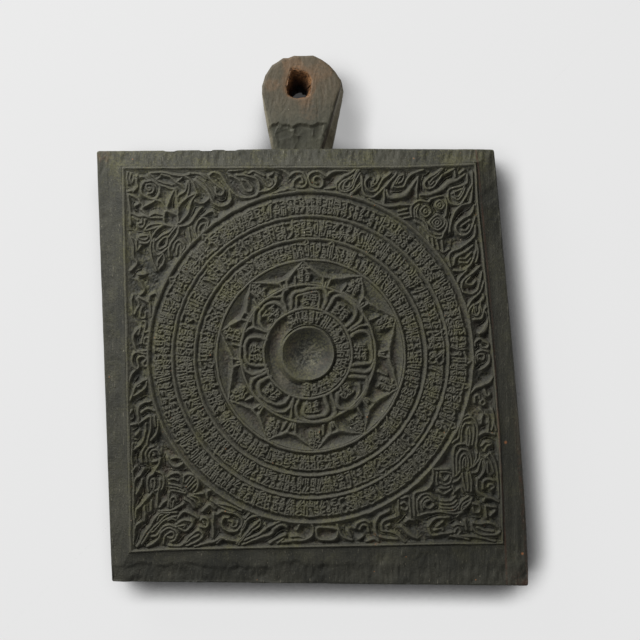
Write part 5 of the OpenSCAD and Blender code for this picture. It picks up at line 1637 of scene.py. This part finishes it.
def cut_sides(shade, colours, wood, colour):
    """Tan wood where the knife cut the handle's sides, painted light that makes the shaded right side paler,
    painted shade low on the sides, and a painted shadow line where the cut begins.
    """
    geometry = shade.node("ShaderNodeNewGeometry", {}, {})
    tilt = shade.node("ShaderNodeSeparateXYZ", {}, {"Vector": Value(shade, geometry.outputs["True Normal"])})
    neck, bend, head = HANDLE_FACE[-2], HANDLE_FACE[-3], HANDLE_FACE[-5]
    knife_line = shade.distance_right_of(neck, bend).larger(shade.distance_right_of(bend, head))
    head_end = shade.y.ramp(101, 107)
    side = 1 - Value(shade, tilt.outputs[2]).ramp(0.25, 0.8)
    side = side.larger(knife_line.ramp(0.2, 0.6) * (1 - head_end))
    right = shade.x.ramp(-8.0, -2.0) * (1 - head_end)
    # Painted light: the right side lies in shade, so it is given paler wood high up, and the next line lifts
    # it a little more, so that it looks lit.
    tan = shade.mix((shade.y + wood.patch * 8).ramp(88, 106) * right, colours.side, colours.painted_side_light)
    # The second factor is painted shade, darkening the sides low down where they meet the floor.
    tan = shade.scaled(tan, (1 + right * 0.15) * (0.45 + shade.z.ramp(4, 16) * 0.55))
    colour = shade.mix(side * (0.9 - head_end * 0.4), colour, tan)
    # Painted shadow: a dark line along the knife line beside the face's right edge, widening towards the
    # neck.
    spread = (90 - shade.y).larger(0.0) * 0.06
    painted_shadow_line = knife_line.ramp(-0.4, 0.1) * (1 - (knife_line - spread).ramp(0.1, 0.5))
    return shade.mix(painted_shadow_line * (1 - shade.y.ramp(99, 106)) * 0.75, colour, colours.hole_shade_and_specks)


def hole_walls(shade, colours, wood, colour, reach):
    """The cord hole's walls: fresh wood painted lit at the top and painted shade below, with dark specks."""
    hollow = (1 - reach.ramp(7.4, 8.0)) * (1 - shade.z.ramp(27.2, 27.7))
    lit = (shade.z + wood.patch * 6 + wood.dust * 4).ramp(24, 31)
    # Painted shade low in the hole, rising to the painted light of the lit colour at its top.
    wall = shade.mix(lit, colours.hole_shade_and_specks, colours.hole)
    wall = shade.mix((wood.dust + wood.fine * 0.4).ramp(0.68, 0.76) * 0.8, wall, colours.hole_shade_and_specks)
    return shade.mix(hollow, colour, wall)


def handled_wood(colours):
    """The handle: brown where hands have worn the ink away, darkening to ink at the neck."""
    shade = Shade("handle_wood")
    wood = SimpleNamespace(
        grain=grain_of(shade),
        blotch=shade.noise(95, 60, 95, 3.0, 0.6),
        patch=shade.noise(180, 140, 180, 3.0, 0.65),
        dust=shade.noise(800, 800, 800, 3.0, 0.6),
        fine=shade.noise(2300, 1200, 2300, 3.0, 0.7),
        fibre=shade.noise(1500, 160, 1500, 3.0, 0.6),
    )
    reach = ((shade.x - HOLE_C[0]) ** 2 + (shade.y - HOLE_C[1] - 2.0) ** 2) ** 0.5
    colour = handle_tones(shade, colours, wood, reach)
    colour = cut_sides(shade, colours, wood, colour)
    colour = hole_walls(shade, colours, wood, colour, reach)
    flecks = wood.fine.ramp(0.25, 0.75) * 0.34 + wood.dust.ramp(0.3, 0.7) * 0.22
    colour = shade.scaled(colour, 0.58 + flecks + wood.fibre.ramp(0.3, 0.7) * 0.1)
    spot, _ = specks_of(shade)
    colour = shade.mix(spot * 0.6, colour, colours.dust)
    height = wood.grain * 0.35 + wood.fine * 0.7 + wood.dust * 0.6 + wood.fibre * 0.15
    return shade.finish(colour, 0.58 + wood.dust * 0.14, height, 0.7, 0.2)


def floor_material(colours):
    """A pale floor that the camera sees evenly lit, with the object's soft shadow on it."""
    shade = Shade("pale_floor")
    lit = shade.node("ShaderNodeBsdfDiffuse", {}, {"Color": colours.floor})
    to_light = shade.make("ShaderNodeVectorMath", {"operation": "NORMALIZE"}, {0: (-0.5, 0.58, 0.64)})
    open_sky = shade.make("ShaderNodeAmbientOcclusion", {"samples": 20},
                          {"Distance": 0.018, "Normal": to_light}, "AO")
    shadow = (1 - open_sky.ramp(0.505, 0.97) ** 1.35) * (1 - shade.near(18, 90, 22) * 0.45)
    even = shade.mix(shadow, colours.floor, colours.shadow)
    glow = shade.node("ShaderNodeEmission", {}, {"Color": even, "Strength": 1.0})
    path = shade.node("ShaderNodeLightPath", {}, {})
    camera, glossy, through = (Value(shade, path.outputs[f"Is {kind} Ray"])
                               for kind in ("Camera", "Glossy", "Transmission"))
    both = shade.node("ShaderNodeMixShader", {}, {0: camera.larger(glossy).larger(through) * 0.95})
    for source, slot in ((lit, 1), (glow, 2)):
        shade.tree.links.new(source.outputs[0], both.inputs[slot])
    return shade.show(both)


MATERIALS = {
    "relief_wood": lambda colours: stained_wood(colours, "relief_wood", True),
    "board_wood": lambda colours: stained_wood(colours, "board_wood", False),
    "handle_wood": handled_wood,
    "pale_floor": floor_material,
}


def material(name):
    """A material by its plain name, made once."""
    return bpy.data.materials.get(name) or MATERIALS[name](bpy.context.scene.block_colours)


# Settings

def colour_property(name, description, default):
    """A colour that the user may change."""
    return FloatVectorProperty(name=name, description=description, default=default, subtype="COLOR",
                               size=3, min=0, max=1)


def length_property(name, description, default, smallest):
    """A length in metres that the user may change."""
    return FloatProperty(name=name, description=description, default=default, min=smallest, unit="LENGTH")


def count_property(name, description, default, smallest):
    """A number of faces that the user may change."""
    return IntProperty(name=name, description=description, default=default, min=smallest)


class BlockColours(PropertyGroup):
    ink: colour_property("Ink", "Wood black with old ink", (0.030, 0.031, 0.025))
    ink_worn: colour_property("Worn ink", "Ink where it has begun to wear", (0.052, 0.053, 0.042))
    rubbed: colour_property("Rubbed wood", "The tops of the raised lines", (0.104, 0.099, 0.072))
    olive: colour_property("Olive", "Dusty patches", (0.104, 0.100, 0.050))
    earth: colour_property("Earth", "Brown dirt in the deep grounds", (0.092, 0.062, 0.042))
    cup_dust: colour_property("Cup dust", "Pale scratched dust in the cup", (0.150, 0.142, 0.105))
    red_wood: colour_property("Red wood", "Bare reddish wood at corners and edges", (0.105, 0.055, 0.036))
    neck: colour_property("Neck", "Stained wood of the neck", (0.094, 0.092, 0.064))
    neck_dark: colour_property("Neck, dark", "Dark patches of the neck", (0.060, 0.059, 0.042))
    handle: colour_property("Handle", "Worn wood of the handle's head", (0.122, 0.094, 0.060))
    handle_dark: colour_property("Handle, dark", "Dark patches of the handle's head", (0.078, 0.068, 0.042))
    rust: colour_property("Rust brown", "Orange-brown wear round the hole", (0.172, 0.108, 0.060))
    side: colour_property("Sides", "Tan wood on the handle's cut sides", (0.250, 0.222, 0.155))
    # Painted light: a paler copy of the sides' wood for the shaded right side of the handle.
    painted_side_light: colour_property("Sides, pale", "Paler wood high on the handle's sides", (0.360, 0.325, 0.245))
    hole: colour_property("Hole", "Fresh wood on the lit side of the cord hole", (0.30, 0.150, 0.062))
    # Painted shade: the dark lower side of the cord hole and the line along the handle's cut, also the dark
    # specks in the hole.
    hole_shade_and_specks: colour_property("Hole, dark", "Dark side of the cord hole", (0.030, 0.016, 0.010))
    dust: colour_property("Dust", "Pale grains caught in the carving", (0.38, 0.35, 0.26))
    orange_dust: colour_property("Orange dust", "Orange grains caught in the carving", (0.36, 0.15, 0.06))
    floor: colour_property("Floor", "The pale floor", (0.81, 0.81, 0.81))
    shadow: colour_property("Shadow", "The floor where the block's shadow is deepest", (0.05, 0.05, 0.05))


class BlockSizes(PropertyGroup):
    cup_depth: length_property("Cup depth", "Depth of the hollow in the middle", 4.2 * MM, 0.5 * MM)


class BlockLight(PropertyGroup):
    key_power: FloatProperty(name="Key lamp", description="Power of the lamp at the upper left", default=3.7,
                             min=0, unit="POWER")
    key_size: length_property("Key size", "Width of the lamp at the upper left", 0.28, 0.01)
    fill: FloatProperty(name="Fill", description="Strength of the light from all sides", default=0.22, min=0)
    camera_height: length_property("Camera height", "Height of the camera above the face", 0.5, 0.1)
    view_width: length_property("View width", "Width of the picture at the printing face", 0.272, 0.1)


class BlockFineness(PropertyGroup):
    corner_around: count_property("Corner, around", "Faces round a corner zone", 420, 50)
    corner_across: count_property("Corner, across", "Faces across a corner zone", 205, 30)
    edge_around: count_property("Edge, around", "Faces round an edge zone", 230, 40)
    edge_across: count_property("Edge, across", "Faces across an edge zone", 60, 10)


# Operators

class PRINTBLOCK_OT_board(Operator):
    """Model the plank with its margins, sides and back"""
    bl_idname = "printblock.board"
    bl_label = "Board"

    def execute(self, context):
        dressed(make_body(), "stained_wood", "board_wood", "block_body")
        return {"FINISHED"}


class PRINTBLOCK_OT_handle(Operator):
    """Model the waisted handle with its cord hole"""
    bl_idname = "printblock.handle"
    bl_label = "Handle"

    def execute(self, context):
        dressed(make_handle(), "handled_wood", "handle_wood", "handle")
        return {"FINISHED"}


class PRINTBLOCK_OT_border(Operator):
    """Model the ruled border line"""
    bl_idname = "printblock.border"
    bl_label = "Border line"

    def execute(self, context):
        dressed(make_border(), "worn_wood", "relief_wood", "border_line")
        return {"FINISHED"}


class PRINTBLOCK_OT_rings(Operator):
    """Model the three channelled rings and the three single circles"""
    bl_idname = "printblock.rings"
    bl_label = "Rings"

    def execute(self, context):
        for name, radius in RINGS.items():
            piece = round_tile(f"carved_{name}_ring", RING_C, radius - RING_HALF, RING_C, radius + RING_HALF,
                               FACES["ring"], ring_height(RING_C, radius, HEADS[name], CRESTS[name]))
            dressed(piece, "worn_wood", "relief_wood", f"{name}_ring")
        lines = (("star", STAR_C, STAR_R), ("lotus", LOTUS_C, LOTUS_R), ("hub", LOTUS_C, HUB_R))
        for name, centre, radius in lines:
            faces = (int(radius * LINE_FACES_PER_MM), LINE_FACES_ACROSS)
            piece = round_tile(f"carved_{name}_ring", centre, radius - LINE_HALF, centre, radius + LINE_HALF,
                               faces, line_height(centre, radius))
            dressed(piece, "worn_wood", "relief_wood", f"{name}_ring")
        return {"FINISHED"}


class PRINTBLOCK_OT_bands(Operator):
    """Model the four bands of fine marks"""
    bl_idname = "printblock.bands"
    bl_label = "Bands"

    def execute(self, context):
        bands = (
            ("outer", RING_C, RINGS["middle"] + RING_HALF),
            ("middle", RING_C, RINGS["inner"] + RING_HALF),
            ("inner", STAR_C, STAR_R + LINE_HALF),
        )
        for name, c_in, r_in in bands:
            piece = round_tile(f"carved_{name}_band", c_in, r_in, RING_C, RINGS[name] - RING_HALF,
                               FACES[f"{name}_band"], band_height(c_in, band_foot(name)))
            dressed(piece, "stained_wood", "relief_wood", f"{name}_band")
        piece = round_tile("carved_hub_band", LOTUS_C, CUP_RIM_R, LOTUS_C, HUB_R - LINE_HALF,
                           FACES["hub_band"], hub_height)
        dressed(piece, "stained_wood", "relief_wood", "hub_band")
        return {"FINISHED"}


class PRINTBLOCK_OT_star(Operator):
    """Model the ten-pointed star"""
    bl_idname = "printblock.star"
    bl_label = "Star"

    def execute(self, context):
        piece = round_tile("carved_star", LOTUS_C, LOTUS_R + LINE_HALF, STAR_C, STAR_R - LINE_HALF,
                           FACES["star"], star_height)
        dressed(piece, "worn_wood", "relief_wood", "star")
        return {"FINISHED"}


class PRINTBLOCK_OT_lotus(Operator):
    """Model the lotus round the hub"""
    bl_idname = "printblock.lotus"
    bl_label = "Lotus"

    def execute(self, context):
        piece = round_tile("carved_lotus", LOTUS_C, HUB_R + LINE_HALF, LOTUS_C, LOTUS_R - LINE_HALF,
                           FACES["lotus"], lotus_height)
        dressed(piece, "worn_wood", "relief_wood", "lotus")
        return {"FINISHED"}


class PRINTBLOCK_OT_cup(Operator):
    """Model the cup in the middle"""
    bl_idname = "printblock.cup"
    bl_label = "Cup"

    def execute(self, context):
        depth = context.scene.block_sizes.cup_depth / MM
        dressed(make_cup(depth), "worn_wood", "relief_wood", "cup")
        return {"FINISHED"}


class PRINTBLOCK_OT_ornament(Operator):
    """Model the eight zones of scrolls, flames and leaves"""
    bl_idname = "printblock.ornament"
    bl_label = "Ornament"

    def execute(self, context):
        fine = context.scene.block_fineness
        for name, (a0, a1) in ZONES.items():
            corner = name.startswith("corner")
            around = fine.corner_around if corner else fine.edge_around
            across = fine.corner_across if corner else fine.edge_across
            dressed(make_zone(name, a0, a1, around, across), "stained_wood", "relief_wood", name)
        return {"FINISHED"}


# The stage, in metres: the floor's width, how far left, back and up the lamp stands, and the
# place of the face that the camera looks straight down on.
FLOOR_SIZE = 24
LAMP_PLACE = (0.30, 0.36, 0.33)
PICTURE_MIDDLE = (0.00325, 0.0007)


class PRINTBLOCK_OT_stage(Operator):
    """Set the floor, the light and the camera"""
    bl_idname = "printblock.stage"
    bl_label = "Stage"

    def execute(self, context):
        light = context.scene.block_light
        self.floor()
        self.lamps(light)
        self.camera(context, light)
        context.scene.view_settings.view_transform = "Standard"
        return {"FINISHED"}

    def floor(self):
        clear_selection()
        bpy.ops.mesh.primitive_plane_add(size=FLOOR_SIZE, location=(0, 0, 0))
        plane = bpy.context.object
        plane.name = "floor"
        plane.data.materials.append(material("pale_floor"))

    def lamps(self, light):
        clear_selection()
        away, back, up = LAMP_PLACE
        bpy.ops.object.light_add(type="AREA", location=(-away, back, up))
        key = bpy.context.object
        key.name = "key_lamp"
        key.data.energy = light.key_power
        key.data.size = light.key_size
        aim = math.atan2(math.hypot(away, back), up)
        key.rotation_euler = (-aim, 0, math.atan2(away, back))
        world = bpy.data.worlds.new("studio")
        world.use_nodes = True
        world.node_tree.nodes["Background"].inputs["Strength"].default_value = light.fill
        world.node_tree.nodes["Background"].inputs["Color"].default_value = (1, 1, 1, 1)
        bpy.context.scene.world = world

    def camera(self, context, light):
        height = FACE_Z * MM + light.camera_height
        bpy.ops.object.camera_add(location=(*PICTURE_MIDDLE, height), rotation=(0, 0, 0))
        camera = bpy.context.object
        camera.name = "view_camera"
        camera.data.angle = 2 * math.atan(light.view_width / 2 / light.camera_height)
        camera.data.clip_start = 0.01
        context.scene.camera = camera


class PRINTBLOCK_PT_panel(Panel):
    bl_label = "Printing block"
    bl_idname = "PRINTBLOCK_PT_panel"
    bl_space_type = "VIEW_3D"
    bl_region_type = "UI"
    bl_category = "Printing Block"

    def draw(self, context):
        for operator in OPERATORS:
            self.layout.operator(operator.bl_idname)
        for name in GROUPS:
            group = getattr(context.scene, name)
            box = self.layout.box()
            for key in group.__annotations__:
                box.prop(group, key)


OPERATORS = (PRINTBLOCK_OT_board, PRINTBLOCK_OT_handle, PRINTBLOCK_OT_border, PRINTBLOCK_OT_rings,
             PRINTBLOCK_OT_bands, PRINTBLOCK_OT_star, PRINTBLOCK_OT_lotus, PRINTBLOCK_OT_cup,
             PRINTBLOCK_OT_ornament, PRINTBLOCK_OT_stage)
GROUPS = {"block_sizes": BlockSizes, "block_colours": BlockColours, "block_light": BlockLight,
          "block_fineness": BlockFineness}


def register():
    for group in GROUPS.values():
        bpy.utils.register_class(group)
    for name, group in GROUPS.items():
        setattr(bpy.types.Scene, name, PointerProperty(type=group))
    for item in OPERATORS + (PRINTBLOCK_PT_panel,):
        bpy.utils.register_class(item)


def unregister():
    for item in reversed(OPERATORS + (PRINTBLOCK_PT_panel,)):
        bpy.utils.unregister_class(item)
    for name in GROUPS:
        delattr(bpy.types.Scene, name)
    for group in reversed(list(GROUPS.values())):
        bpy.utils.unregister_class(group)


def main():
    register()
    for operator in OPERATORS:
        module, name = operator.bl_idname.split(".")
        getattr(getattr(bpy.ops, module), name)()


if __name__ == "__main__":
    main()
